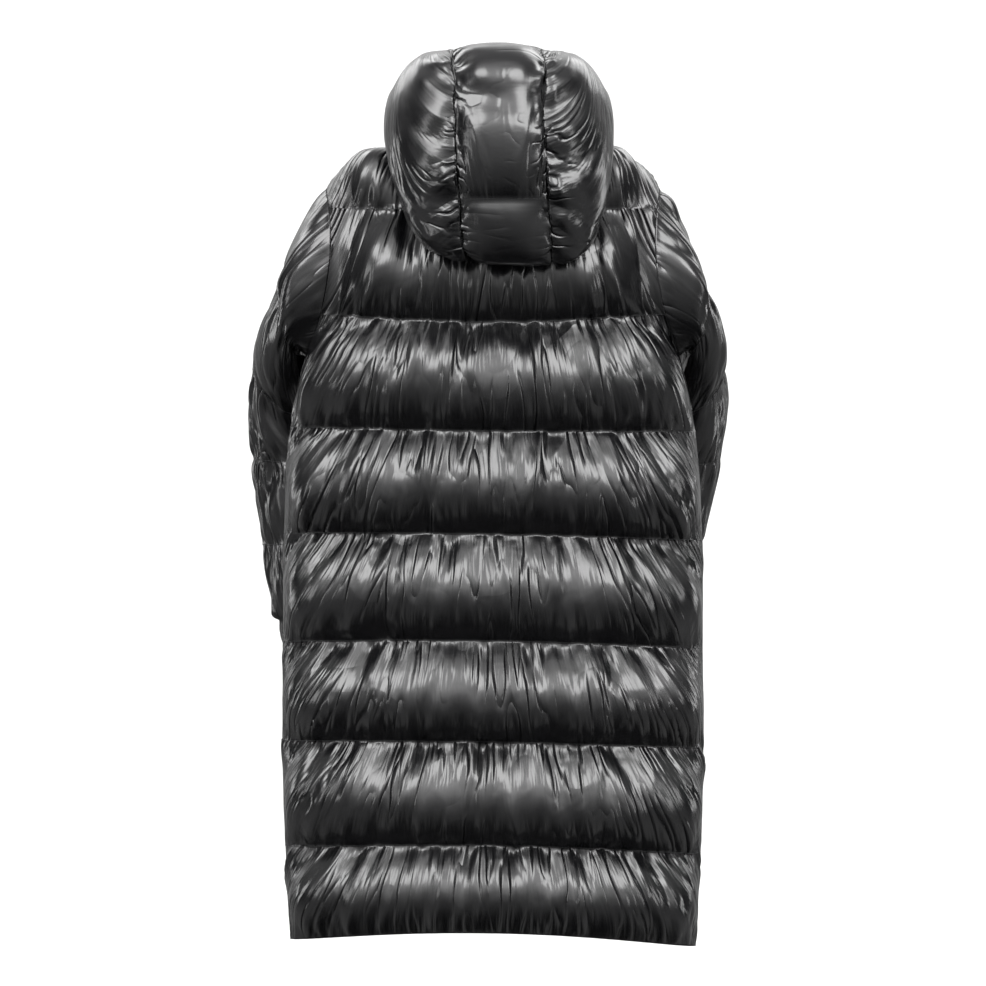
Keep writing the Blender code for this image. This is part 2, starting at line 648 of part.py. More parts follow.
def neck_ring(grids):
    """The panels' neck edge as one loop from the right front round the back, in equal turns."""
    back, left, right = (grids[name] for name in ("back_panel", "front_left", "front_right"))
    first = HALF_COLUMNS - NECK_COLUMNS
    rings = []
    for part in range(2):
        behind = back[part][0, first : HALF_COLUMNS + NECK_COLUMNS + 1][::-1]
        left_edge = left[part][0, :NECK_COLUMNS]
        right_edge = right[part][0, -NECK_COLUMNS:]
        corners = (right_edge[:1] + behind[:1]) / 2, (left_edge[-1:] + behind[-1:]) / 2
        edges = np.concatenate([right_edge[:0:-1], corners[0], behind[1:-1], corners[1], left_edge[-2::-1]])
        rings.append(edges + SEAM_GAP * np.array([0.0, 0.0, 1.0]))
    return rings


def read_ring(ring, angles):
    """Places on the neck loop's straight runs."""
    steps = np.arange(-2 * NECK_COLUMNS + 1, 2 * NECK_COLUMNS)
    at = np.asarray(angles) / 90 * NECK_COLUMNS
    return np.stack([np.interp(at, steps, ring[:, axis]) for axis in range(3)], axis=-1)


def hood_rows():
    loops = len(HOOD_LOOPS) - 1
    return np.linspace(0, loops, HOOD_ROWS_PER_LOOP * loops + 1)


def hood_grids(angles, neck_angles, strip, rings):
    t = hood_rows()[:, None] * np.ones_like(angles)
    angles = neck_angles + (angles - neck_angles) * np.clip(t, 0, 1)
    base = hood_base(angles, t)
    open_seams(base, HOOD_EDGE_MOVE)
    normal = hood_normal(angles, t)
    if not strip:
        front = -1 if angles[0, 0] > 0 else 0
        normal[:, front] = upright(normal[:, front])
    rise = SEAM_THICKNESS + hood_rise(angles, t, strip)
    outer = base + normal * rise[..., None]
    lining = base - normal * HOOD_LINING_DEPTH
    for grid, ring in zip((outer, lining), rings):
        grid[0] = read_ring(ring, neck_angles)
        open_seams(grid[:1])
    return outer, lining


def add_hood(grids, collection):
    """The centre strip and the two sides, from the neck seam to the rim."""
    rings = neck_ring(grids)
    rows = hood_rows()
    shares = np.arange(1, HOOD_FRONT_STEPS + 1) / HOOD_FRONT_STEPS
    front = 90 + (hood_front_angle(rows)[:, None] - 90) * shares
    turns = hood_strip_turn(rows)[:, None]
    behind = turns + (90 - turns) * np.array(HOOD_SIDE_SHARES)
    left = np.concatenate([behind, front], axis=1)
    neck_turn = 90 * (NECK_COLUMNS - 1) / NECK_COLUMNS
    neck_left = np.concatenate([HOOD_NECK_ANGLES["side"], 90 + neck_turn * shares])
    strip = turns * np.array(HOOD_STRIP_SHARES)
    neck_strip = np.array(HOOD_NECK_ANGLES["strip"], float)
    pieces = {
        "hood_centre": (strip, neck_strip, True),
        "hood_left": (left, neck_left, False),
        "hood_right": (-left[:, ::-1], -neck_left[::-1], False),
    }
    for name, (angles, neck_angles, is_strip) in pieces.items():
        outer, lining = hood_grids(angles, neck_angles, is_strip, rings)
        add_wall(name, outer, lining, list(range(len(rows))), False, collection)


def placket_points():
    """Places and outward directions down the placket, from the hood's rim to the hem."""
    across = np.array(PLACKET_COLUMNS)
    inner = 1 - SEAM_GAP / PLACKET_HALF_WIDTH
    t = np.array(PLACKET_HOOD_ROWS)[:, None] * np.ones(len(across))
    reach = (180 - hood_front_angle(t)) * inner
    angle = 180 - across * reach
    v = body_rows()[body_lining_rows(), None] * np.ones(len(across))
    u = across * placket_edge(v) * inner
    base = np.concatenate([hood_base(angle, t), body_base(u, v, -1)])
    normal = np.concatenate([hood_normal(angle, t), body_normal(u, v, -1)])
    return base, upright(normal)


def add_placket(collection):
    base, normal = placket_points()
    outer = base + normal * PLACKET_RISE
    lining = base - normal * LINING_DEPTH
    add_wall("front_placket", outer, lining, list(range(len(outer))), False, collection)


def add_studs(collection):
    """Round press stud caps down the middle of the placket."""
    for number, place in enumerate(STUD_PLACES, start=1):
        u = np.array([1e-6])
        v = np.array([place])
        base = body_base(u, v, -1)[0]
        normal = body_normal(u, v, -1)[0]
        bpy.ops.mesh.primitive_cylinder_add(vertices=STUD_SIDES, radius=STUD_RADIUS, depth=STUD_THICKNESS)
        stud = bpy.context.object
        stud.name = f"stud_{number}"
        out = PLACKET_RISE + STUD_LIFT + STUD_THICKNESS / 2
        stud.location = base + normal * out
        stud.rotation_euler = Vector(normal).to_track_quat("Z", "Y").to_euler()
        stud.data.materials.append(make_material("stud metal", STUD_COLOUR, STUD_ROUGHNESS, 1.0))
        for other in stud.users_collection:
            other.objects.unlink(stud)
        collection.objects.link(stud)


def build():
    clear_scene()
    coat = make_collection("long_puffer_coat")
    grids = add_body(coat)
    add_sleeve("sleeve_left", LEFT_SLEEVE, grids, 1, coat)
    add_sleeve("sleeve_right", RIGHT_SLEEVE, grids, -1, coat)
    add_hood(grids, coat)
    add_placket(coat)
    add_studs(coat)


build()
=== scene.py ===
import math
import time

import bpy
import numpy as np
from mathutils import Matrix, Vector


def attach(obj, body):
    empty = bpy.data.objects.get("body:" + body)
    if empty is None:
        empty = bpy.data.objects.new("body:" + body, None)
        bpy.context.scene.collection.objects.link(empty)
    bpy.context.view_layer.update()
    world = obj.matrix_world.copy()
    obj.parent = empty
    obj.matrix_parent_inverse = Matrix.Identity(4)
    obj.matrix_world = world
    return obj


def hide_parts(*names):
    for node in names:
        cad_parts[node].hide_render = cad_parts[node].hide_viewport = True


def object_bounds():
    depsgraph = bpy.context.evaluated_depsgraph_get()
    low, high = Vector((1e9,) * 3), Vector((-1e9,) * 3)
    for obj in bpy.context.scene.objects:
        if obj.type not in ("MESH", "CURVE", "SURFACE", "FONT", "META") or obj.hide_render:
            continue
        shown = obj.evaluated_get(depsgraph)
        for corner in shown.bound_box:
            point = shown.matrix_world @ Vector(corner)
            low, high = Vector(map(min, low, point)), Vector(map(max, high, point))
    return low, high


# A long puffer coat, filled out with no wearer and held at the neck.
# Metres, +Z up. The front faces -Y, and +X is the wearer's left.

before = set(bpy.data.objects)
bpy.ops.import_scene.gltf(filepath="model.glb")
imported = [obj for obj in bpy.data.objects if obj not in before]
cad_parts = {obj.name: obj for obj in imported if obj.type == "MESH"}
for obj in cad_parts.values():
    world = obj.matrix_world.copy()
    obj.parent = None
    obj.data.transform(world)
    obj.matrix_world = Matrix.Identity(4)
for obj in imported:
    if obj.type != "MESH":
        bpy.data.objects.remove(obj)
cadLow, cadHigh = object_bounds()
startTime = time.time()
scene = bpy.context.scene


def stage(words):
    print(f"{time.time() - startTime:6.1f} s  {words}", flush=True)


def clamp(values):
    return np.clip(values, 0, 1)


def ramp(values, start, end):
    return clamp((values - start) / (end - start))


def ease(part):
    return part**2 * (3 - 2 * part)


def length(vectors):
    return np.linalg.norm(vectors, axis=-1)


def stacked(*values):
    return np.stack(values, axis=-1)


def joined(*parts):
    return np.concatenate(parts)


def fullTurn(count):
    return np.linspace(0, 2 * np.pi, count, endpoint=False)


def unit(vectors):
    return vectors / np.maximum(length(vectors)[..., None], 1e-12)


def upright(vectors):
    return unit(vectors * np.array([0.0, 1.0, 1.0]))


def runLengths(points, axis=0):
    # metres from the start of a line, or of each line of a grid
    steps = np.cumsum(length(np.diff(points, axis=axis)), axis=axis)
    return np.insert(steps, 0, 0, axis=axis)


def girth(rings):
    return float(length(np.roll(rings, -1, axis=1) - rings).sum(axis=1).mean())


def between(at, places, points):
    # points read off a line that is known at some places
    return stacked(*(np.interp(at, places, axis) for axis in points.T))


def smoothCurve(at, nodes, values):
    # smooth curve through a table's rows
    nodes = np.asarray(nodes, float)
    values = np.asarray(values, float)
    slopes = np.gradient(values, nodes, axis=0)
    at = np.clip(np.asarray(at, float), nodes[0], nodes[-1])
    cell = np.clip(np.searchsorted(nodes, at, side="right") - 1, 0, len(nodes) - 2)
    width = nodes[cell + 1] - nodes[cell]
    part = (at - nodes[cell]) / width
    if values.ndim > 1:
        width, part = width[..., None], part[..., None]
    step = ease(part)
    return (values[cell] * (1 - step) + values[cell + 1] * step
            + width * (part * (1 - part) ** 2 * slopes[cell] + part**2 * (part - 1) * slopes[cell + 1]))


def addObject(name, data):
    obj = bpy.data.objects.new(name, data)
    scene.collection.objects.link(obj)
    return obj


def addMesh(name, points, faces, *materials):
    mesh = bpy.data.meshes.new(name)
    mesh.from_pydata(points, [], faces)
    mesh.polygons.foreach_set("use_smooth", np.ones(len(mesh.polygons), bool))
    for material in materials:
        mesh.materials.append(material)
    return addObject(name, mesh)


def readAll(items, field, kind, width=1):
    values = np.empty(len(items) * width, kind)
    items.foreach_get(field, values)
    return values


# Surfaces: the same seams and curves that the solids are cut from

body = {
    "sideZ": (-0.094, -0.243, -0.404, -0.556, -0.709, -0.849, -0.999, -1.131),  # seams at the side
    "backZ": (-0.100, -0.255, -0.407, -0.551, -0.700, -0.841, -0.985, -1.108),  # and at the centre back
    "halfWidth": (0.239, 0.252, 0.286, 0.296, 0.297, 0.298, 0.294, 0.287),
    "backDepth": (0.096, 0.116, 0.118, 0.116, 0.116, 0.118, 0.120, 0.120),
    "frontDepth": (0.090, 0.104, 0.104, 0.104, 0.106, 0.110, 0.114, 0.116),
    "tilt": 0.0175,  # the wearer's left hangs this much higher, per metre across
    "bands": 8,  # the yoke and seven channels
    "seamThickness": 0.001,
    "liningDepth": 0.004,
    "seamGap": 0.00002,
}
neck = {
    "halfWidth": 0.085,
    "backY": 0.068,
    "frontY": -0.080,
    "backZ": 0.004,
    "frontZ": -0.045,
    "turnHeight": 0.3,  # share of the yoke over which its wall turns level to meet the hood
    "turnWidth": 0.15,
    "corner": 1 / 3,  # share of a panel's half width that the neck takes
    "fall": {1: 0.0, -1: 0.45},
}
shoulder = {"point": (0.236, 0.0, -0.063), "bulge": 0.027}
armhole = {
    "armpit": 2.345,  # channels down
    "halfDepth": 0.088,
    "hollow": 0.020,
    "turn": 55,  # degrees
    "turnFrom": 1.5,
}
padding = {
    "backRise": 0.040,
    "frontRise": 0.034,
    "yokeRise": 0.026,
    "underHoodRise": 0.003,
    "underHood": (0.5, 0.75),
    "backTaperFrom": 0.60,
    "frontTaperFrom": 0.45,
    "placketTaper": 0.16,
    "sag": 0.30,
    "flange": 0.66,
    "flangeWidth": 0.12,
}
placket = {"halfWidth": 0.025, "rise": 0.008}


bandPlaces = np.arange(1, body["bands"] + 1)


def seamValue(name, v):
    return smoothCurve(v, bandPlaces, body[name])


def sideHeight(v):
    return np.interp(v, bandPlaces, body["sideZ"])


def armholeFrame():
    top = np.array(shoulder["point"])
    pit = np.array([seamValue("halfWidth", armhole["armpit"]), 0.0, sideHeight(armhole["armpit"])])
    return (top + pit) / 2, (top - pit) / 2


def armholePoint(angle):
    centre, up = armholeFrame()
    angle = np.asarray(angle, float)[..., None]
    across = np.array([0.0, armhole["halfDepth"], 0.0])
    hollow = np.array([armhole["hollow"], 0.0, 0.0])
    return centre + up * np.cos(angle) + across * np.sin(angle) - hollow * np.sin(angle) ** 2


def armholeAngle(v):
    centre, up = armholeFrame()
    below = np.arccos(np.clip((sideHeight(np.maximum(v, 1.0)) - centre[2]) / up[2], -1, 1))
    return below * np.minimum(v, 1.0)


def edgePlace(v):
    edge = armholePoint(armholeAngle(v))
    inArmhole = v < armhole["armpit"]
    x = np.where(inArmhole, edge[..., 0], seamValue("halfWidth", v))
    return x, np.where(inArmhole, edge[..., 1], 0.0)


def armholeTurn(v):
    turn = armhole["turn"]
    return np.radians(turn + (90 - turn) * ease(ramp(v, armhole["turnFrom"], armhole["armpit"])))


softSteps = np.linspace(-0.5, 0.5, 9)  # channels over which the armhole's bend is evened out


def belowYoke(u, v, side):
    across = np.abs(u)
    edgeX, edgeY = edgePlace(v)
    softY = sum(edgePlace(np.maximum(v, 1.0) + step)[1] for step in softSteps) / len(softSteps)
    edgeY = softY + (edgeY - softY) * across**8  # the armhole's bend spreads out inside the panel
    turn = armholeTurn(v)
    depth = seamValue("backDepth" if side > 0 else "frontDepth", v)
    roundPart = (np.cos(across * turn) - np.cos(turn)) / (1 - np.cos(turn))
    x = edgeX * np.sin(across * turn) / np.sin(turn)
    y = edgeY + (depth - edgeY) * roundPart
    sideZ = sideHeight(v)
    centreZ = np.interp(v, bandPlaces, body["backZ"])
    droop = (centreZ - sideZ) * np.cos(across * np.pi / 2) ** 2 if side > 0 else 0.0
    tilt = body["tilt"] * clamp(v - armhole["armpit"]) * x * np.sign(u)
    return stacked(x * np.sign(u), side * y, sideZ + droop + tilt)


def topEdge(u, side):
    across = np.abs(u)
    corner = neck["corner"]
    angle = clamp(across / corner) * np.pi / 2
    neckY = neck["backY"] if side > 0 else -neck["frontY"]
    neckZ = neck["backZ"] if side > 0 else neck["frontZ"]
    along = np.clip((across - corner) / (1 - corner), 0, None)
    x = neck["halfWidth"] * np.sin(angle) + (shoulder["point"][0] - neck["halfWidth"]) * along
    y = side * neckY * np.cos(angle)
    z = neckZ * np.cos(angle) ** 2 + shoulder["point"][2] * along
    # 27 / 4 makes the hump as high as its bulge says
    z = z + shoulder["bulge"] * 27 / 4 * along**2 * np.clip(1 - along, 0, None)
    return stacked(x * np.sign(u), y, z)


def yokeCorner(top, low, side):
    height = top[..., 2] + neck["fall"][side] * (low[..., 2] - top[..., 2])
    return stacked((top[..., 0] + low[..., 0]) / 2, low[..., 1], height)


def bent(start, corner, end, part):
    return start * (1 - part) ** 2 + 2 * corner * part * (1 - part) + end * part**2


def yoke(u, v, side):
    # from the neck's edge and the shoulder down to the first seam, and out to the armhole's edge
    across = np.abs(u)
    top = topEdge(u, side)
    low = belowYoke(u, np.ones_like(v), side)
    corner = yokeCorner(top, low, side)
    part = v[..., None]
    mirror = stacked(np.sign(u), np.full_like(v, side), np.ones_like(v))
    arc = armholePoint(armholeAngle(v)) * mirror
    endTop = np.array(shoulder["point"]) * mirror
    endLow = armholePoint(armholeAngle(np.ones_like(v))) * mirror
    toArmhole = arc - bent(endTop, yokeCorner(endTop, endLow, side), endLow, part)
    return bent(top, corner, low, part) + across[..., None] ** 4 * toArmhole


def bodyBase(u, v, side):
    u, v = np.broadcast_arrays(np.asarray(u, float), np.asarray(v, float))
    u = np.where(u == 0, 1e-9, u)  # so that the middle has a side
    lower = belowYoke(u, np.maximum(v, 1.0), side)
    upper = yoke(u, clamp(v), side)
    return np.where((v < 1)[..., None], upper, lower)


normalStep = (0.001, 0.03)  # across and down: over which the surface's slopes are read


def bodyNormal(u, v, side):
    # straight out from the surface but, at the neck's edge, level and away from the neck
    (stepU, stepV), corner = normalStep, neck["corner"]
    alongU = bodyBase(u + stepU, v, side) - bodyBase(u - stepU, v, side)
    lower = np.clip(v + stepV, 0, body["bands"])
    alongV = bodyBase(u, lower, side) - bodyBase(u, np.clip(v - stepV, 0, body["bands"]), side)
    out = side * unit(np.cross(alongU, alongV))
    angle = np.clip(u / corner, -1, 1) * np.pi / 2
    level = stacked(np.sin(angle), side * np.cos(angle), 0 * angle)
    beyond = clamp((np.abs(u) - corner) / neck["turnWidth"])
    nearTop = clamp(1 - v / neck["turnHeight"])
    out = out + (level - out) * (nearTop * (1 - beyond))[..., None]
    out[..., 1] *= 1 - nearTop * clamp(4 * (np.abs(u) / corner) - 3)
    return unit(out)


def placketEdge(v):
    below = np.maximum(v, 1.0)
    turn = armholeTurn(below)
    atSeam = np.arcsin(placket["halfWidth"] * np.sin(turn) / edgePlace(below)[0]) / turn
    atNeck = np.arcsin(placket["halfWidth"] / neck["halfWidth"]) * neck["corner"] / (np.pi / 2)
    return np.where(v < 1, atNeck + (atSeam - atNeck) * clamp(v), atSeam)


def fullness(u, v, side):
    # how full the padding is at each place: 0 at a panel's edges, 1 where it stands full
    start = padding["backTaperFrom"] if side > 0 else padding["frontTaperFrom"]
    taper = np.cos(ramp(np.abs(u), start, 1) * np.pi / 2) ** 3
    if side > 0:
        return taper
    beside = clamp((np.abs(u) - placketEdge(v)) / padding["placketTaper"])
    return taper * np.sin(beside * np.pi / 2)


def bodyRise(u, v, side):
    # the height of a channel's crown over its seams at each place
    clear = ramp(np.abs(u), *padding["underHood"])
    yokeRise = padding["underHoodRise"] + (padding["yokeRise"] - padding["underHoodRise"]) * clear
    full = np.where(v < 1, yokeRise, padding["backRise"] if side > 0 else padding["frontRise"])
    return full * fullness(u, v, side)


# Cloth. Each piece is a grid of points, cut larger than the space between its seams,
# held at its stitched rows and blown up by its filling.

folds = {
    "families": (  # every gather's pitch, half width, height and reach, and how often it is a crease
        {"pitch": (0.009, 0.019), "halfWidth": (0.0030, 0.0052), "tall": (0.0020, 0.0048),
         "reach": (0.18, 0.80), "lowReach": (0.12, 0.50), "creases": 0.4},
        {"pitch": (0.020, 0.045), "halfWidth": (0.0055, 0.0095), "tall": (0.0036, 0.0074),
         "reach": (0.40, 1.00), "lowReach": (0.30, 0.80), "creases": 0.5},
        {"pitch": (0.045, 0.110), "halfWidth": (0.0036, 0.0056), "tall": (0.0060, 0.0100),
         "reach": (0.60, 1.10), "lowReach": (0.45, 0.90), "creases": 0.75},
    ),
    "shortest": 0.008,  # metres that every gather reaches at least
    "widen": 0.7,
    "crimp": 0.45,  # share of its height that a gather has at the stitches
    "crimpTo": 0.010,
    "fan": 0.42,  # slant outward away from the middle
    "fanEdge": 1.0,  # and more of it at the sides
    "fanEnd": 0.4,  # but less right beside the side seams
    "beside": 0.15,  # share of the slant that is left beside the placket
    "lowFan": -0.8,  # gathers from a lower seam lean the same way
    "slant": 0.12,
    "bend": 0.30,
    "bunch": 0.6,  # how far a grid's rows draw together beside its seams
}


def fanSlant(t, look, still):
    # less slant over the last fifth out, and the gathers beside the placket stay nearly upright
    slant = (look["fan"] * t + look["fanEdge"] * t**3) * (1 - look["fanEnd"] * clamp(np.abs(t) / 0.2 - 4))
    return slant * np.where(t * still > 0, look["beside"], 1.0)


def bandRows(bands, steps):
    even = np.linspace(0, 1, steps + 1)[:-1]
    within = even * (1 - folds["bunch"]) + (1 - np.cos(even * np.pi)) / 2 * folds["bunch"]
    return np.append((np.arange(bands)[:, None] + within).ravel(), bands)


def arcPuff(part):
    # the height across a channel: 0 at its seams and 1 at its crown, which its filling's weight
    # lowers. The cloth lies flatter just under the upper seam
    low = part * (1 - padding["sag"] * (1 - part))
    return 4 * low * (1 - low) * (1 - padding["flange"] * np.exp(-part / padding["flangeWidth"]))


def gridFaces(rows, columns, closed=False, shift=0, flip=False):
    index = np.arange(rows * columns).reshape(rows, columns) + shift
    after = np.roll(index, -1, axis=1) if closed else index[:, 1:]
    here = index if closed else index[:, :-1]
    quads = stacked(here[:-1], here[1:], after[1:], after[:-1]).reshape(-1, 4)
    return quads[:, ::-1] if flip else quads


def alongRows(points, still=0):
    # metres along each row from its middle or, for a front, from half its width off the placket,
    # which still says is at the row's start (-1) or its end (1)
    far = runLengths(points, axis=1)
    if still == 0:
        return far - far[:, -1:] / 2
    return far - far[:, -1:] * (still > 0) + still * far[:, -1].max() / 2


def gatherHeights(across, part, widths, look, rng, around=0.0, still=0):
    # gathers that run into each channel from both its seams. across is in metres along the seams
    # and part in channels, with the seams at whole numbers; around is the length of a closed ring
    height = np.zeros(across.shape)
    low, high = (0.0, around) if around else (across.min(), across.max())
    middle = (low + high) / 2
    for band, width in enumerate(widths):
        rows = np.flatnonzero((part[:, 0] >= band - 1e-6) & (part[:, 0] <= band + 1 + 1e-6))
        inBand = part[rows] - band
        for family in look["families"]:
            for reachName, deep in (("reach", inBand * width), ("lowReach", (1 - inBand) * width)):
                place = low - rng.uniform(0, family["pitch"][1])
                while place < high:
                    place += rng.uniform(*family["pitch"])
                    half = rng.uniform(*family["halfWidth"])
                    reach = max(rng.uniform(*family[reachName]) * width, look["shortest"])
                    tall = rng.uniform(*family["tall"])
                    if rng.uniform() < family["creases"]:
                        tall = -tall
                    slant = 0.0 if around else fanSlant((place - middle) / (high - middle), look, still)
                    if reachName == "lowReach":
                        slant = slant * look["lowFan"]
                    slant = slant + rng.normal(0, look["slant"])
                    bend = rng.normal(0, look["bend"])
                    off = across[rows] - (place + slant * deep + bend * deep**2 / width)
                    if around:
                        off = (off + around / 2) % around - around / 2
                    fade = clamp(1 - deep / reach)
                    profile = np.exp(-np.abs(off / (half * (1 + look["widen"] * (1 - fade)))) ** 1.5)
                    start = look["crimp"] + (1 - look["crimp"]) * clamp(deep / look["crimpTo"])
                    height[rows] += tall * profile * start * fade
    return height


shellCloth = {
    "frames": 5,
    "settings": {
        "quality": 5,
        "mass": 0.3,
        "tension_stiffness": 40,
        "compression_stiffness": 40,
        "shear_stiffness": 4,
        "bending_stiffness": 0.02,
        "tension_damping": 5,
        "compression_damping": 5,
        "shear_damping": 5,
        "bending_damping": 0.5,
        "air_damping": 1,
        "vertex_group_mass": "stitched",
        "pin_stiffness": 1,
        "use_pressure": True,
        "uniform_pressure_force": 3,
    },
}
clothJobs = []


def addClothJob(name, start, cut, pins, closed):
    # queues a piece's outer cloth: cut is the shape whose lengths and folds it keeps when unloaded
    shape = start.shape[:2]
    obj = addMesh(name + " cut", start.reshape(-1, 3).tolist(), gridFaces(*shape, closed).tolist())
    obj.shape_key_add(name="Basis")
    key = obj.shape_key_add(name="cut")
    key.data.foreach_set("co", cut.astype(np.float32).ravel())
    group = obj.vertex_groups.new(name="stitched")
    group.add(np.flatnonzero(pins.ravel()).tolist(), 1.0, "REPLACE")
    modifier = obj.modifiers.new("Cloth", "CLOTH")
    for setting, value in shellCloth["settings"].items():
        setattr(modifier.settings, setting, value)
    modifier.settings.rest_shape_key = key
    modifier.settings.effector_weights.gravity = 0
    modifier.collision_settings.use_collision = False
    modifier.collision_settings.use_self_collision = False
    modifier.point_cache.frame_end = shellCloth["frames"]
    clothJobs.append((name, obj, shape))


def runCloth():
    # steps every queued cloth together, so that they share the processor's cores
    results = {}
    if not clothJobs:
        return results
    for number in range(1, shellCloth["frames"] + 1):
        scene.frame_set(number)
    graph = bpy.context.evaluated_depsgraph_get()
    for name, obj, shape in clothJobs:
        points = readAll(obj.evaluated_get(graph).to_mesh().vertices, "co", np.float32, 3)
        results[name] = points.reshape(*shape, 3).astype(float)
    for name, obj, shape in clothJobs:
        mesh = obj.data
        bpy.data.objects.remove(obj, do_unlink=True)
        bpy.data.meshes.remove(mesh)
    scene.frame_set(1)
    return results


settle = {  # how far the settled cloth may stand from its seams
    "sideways": 0.016,  # metres
    "crown": 1.1,  # times the height of the crown
    "gather": 1.3,  # and of the gather on it
    "slack": 0.004,
    "slackFrom": 0.01,
    "free": 0.8,  # share of its height that a point keeps in full
    "soft": 0.2,
}


def capMoves(points, grid):
    # keeps each point near the place over its seams where its filling can carry it
    base, normal, crown = grid["base"], grid["normal"], grid["crown"]
    slack = settle["slack"] * clamp(crown / settle["slackFrom"])
    most = body["seamThickness"] + crown * settle["crown"] + np.abs(grid["height"]) * settle["gather"] + slack
    move = points - base
    out = (move * normal).sum(axis=-1)
    along = move - normal * out[..., None]
    limit = np.minimum(1, settle["sideways"] / np.maximum(length(along), 1e-9))
    free, soft = most * settle["free"], settle["soft"] * most
    out = np.where(out > free, free + soft * np.tanh((out - free) / np.maximum(soft, 1e-6)), out)
    return base + normal * np.maximum(out, 0.0)[..., None] + along * limit[..., None]


clothPlace = {
    "slant": 0.8,  # share of the gathers' slant that the creases follow
    "apart": 0.37,  # metres between one channel's creases and the next one's
    "sideways": (0.8, 1.0, 2.6),  # how creases stretch where they run across a piece
}


def clothSpace(grid):
    # each face corner's place on its flat cloth, in metres, with the gathers' slant taken out:
    # on the channel below it and on the one above. A tube's cloth is rolled up
    base, still = grid["base"], grid.get("still", 0)
    x = alongRows(base, still)
    y = runLengths(base)
    if grid["closed"]:
        angle = fullTurn(base.shape[1])[None, :] + 0 * x
        radius = girth(base) / (2 * np.pi)
        spot = stacked(radius * np.cos(angle), radius * np.sin(angle), y)
        return [spot, spot]
    seams = grid["seamRows"]
    slant = fanSlant(x / np.abs(x).max(), folds, still) * clothPlace["slant"]
    spots = []
    for belongs in ("right", "left"):  # a seam's row belongs to the channel below it, then above
        band = np.clip(np.searchsorted(seams, np.arange(len(base)), side=belongs) - 1, 0, len(seams) - 2)
        middle = (y[seams[band]] + y[seams[band + 1]]) / 2
        apart = clothPlace["apart"] * (band[:, None] + 0 * x)
        spots.append(stacked(x - slant * (y - middle), apart, y))
    if grid.get("sideways"):
        return [spot[..., [2, 1, 0]] * np.array(clothPlace["sideways"]) for spot in spots]
    return spots


def addAttribute(mesh, name, kind, domain, values):
    made = mesh.attributes.new(name, kind, domain)
    field = "vector" if kind == "FLOAT_VECTOR" else "value"
    made.data.foreach_set(field, np.asarray(values, np.float32).ravel())


def addWall(name, grid, outer, material, liningMaterial):
    # a closed wall: the outer cloth, the lining with fewer rows, and rims between them
    rowCount, columnCount = outer.shape[:2]
    closed, keptRows = grid["closed"], grid["liningRows"]
    lining = grid["lining"][keptRows]
    shift = rowCount * columnCount
    faces = gridFaces(rowCount, columnCount, closed).tolist()
    outerCount = len(faces)
    faces += gridFaces(len(keptRows), columnCount, closed, shift, flip=True).tolist()
    rimStart = len(faces)
    lastOuter = (rowCount - 1) * columnCount
    lastLining = shift + (len(keptRows) - 1) * columnCount
    for column in range(columnCount if closed else columnCount - 1):
        after = (column + 1) % columnCount
        faces.append((after, shift + after, shift + column, column))
        faces.append((lastOuter + column, lastLining + column, lastLining + after, lastOuter + after))
    for end in () if closed else (0, columnCount - 1):
        for row in range(len(keptRows) - 1):
            run = [place * columnCount + end for place in range(keptRows[row], keptRows[row + 1] + 1)]
            face = run + [shift + (row + 1) * columnCount + end, shift + row * columnCount + end]
            faces.append(face if end else face[::-1])
    points = joined(outer.reshape(-1, 3), lining.reshape(-1, 3))
    obj = addMesh(name, points.tolist(), faces, material, liningMaterial)
    mesh = obj.data
    slots = np.zeros(len(mesh.polygons), np.int32)
    slots[outerCount:rimStart] = 1
    mesh.polygons.foreach_set("material_index", slots)
    below, above = (joined(spot.reshape(-1, 3), spot[keptRows].reshape(-1, 3))
                    for spot in clothSpace(grid))
    corners = readAll(mesh.loops, "vertex_index", np.int32)
    spots = below[corners]
    lower = np.arange(outerCount * 4).reshape(-1, 4)[:, 1:3].ravel()  # the outer faces' lower corners
    spots[lower] = above[corners[lower]]
    addAttribute(mesh, "cloth", "FLOAT_VECTOR", "CORNER", spots)
    near = joined(grid["nearSeam"].ravel(), np.zeros(len(points) - shift))
    addAttribute(mesh, "nearSeam", "FLOAT", "POINT", near)
    # the seams stay sharp, and so do sewn edges, where they meet the next piece
    ends = readAll(mesh.edges, "vertices", np.int32, 2).reshape(-1, 2)
    row, column = ends // columnCount, ends % columnCount
    onSeam = np.isin(row, grid["seamRows"])
    sharp = onSeam.all(axis=1) & (row[:, 0] == row[:, 1])
    for end in () if closed else (0, columnCount - 1):
        sharp |= (column == end).all(axis=1)
    addAttribute(mesh, "crease_edge", "FLOAT", "EDGE", sharp)
    smooth = obj.modifiers.new("Subdivision", "SUBSURF")
    smooth.levels = smooth.render_levels = 1
    return obj


# Materials

class Socket:
    # An output socket that can be added, multiplied and so on.

    def __init__(self, shader, socket):
        self.shader = shader
        self.socket = socket

    def math(self, operation, *others):
        return self.shader.node("Math", {"operation": operation}, self, *others)

    def __add__(self, other):
        return self.math("ADD", other)

    def __sub__(self, other):
        return self.math("SUBTRACT", other)

    def __mul__(self, other):
        return self.math("MULTIPLY", other)

    __radd__ = __add__
    __rmul__ = __mul__

    def __rsub__(self, other):
        return self.shader.node("Math", {"operation": "SUBTRACT"}, other, self)


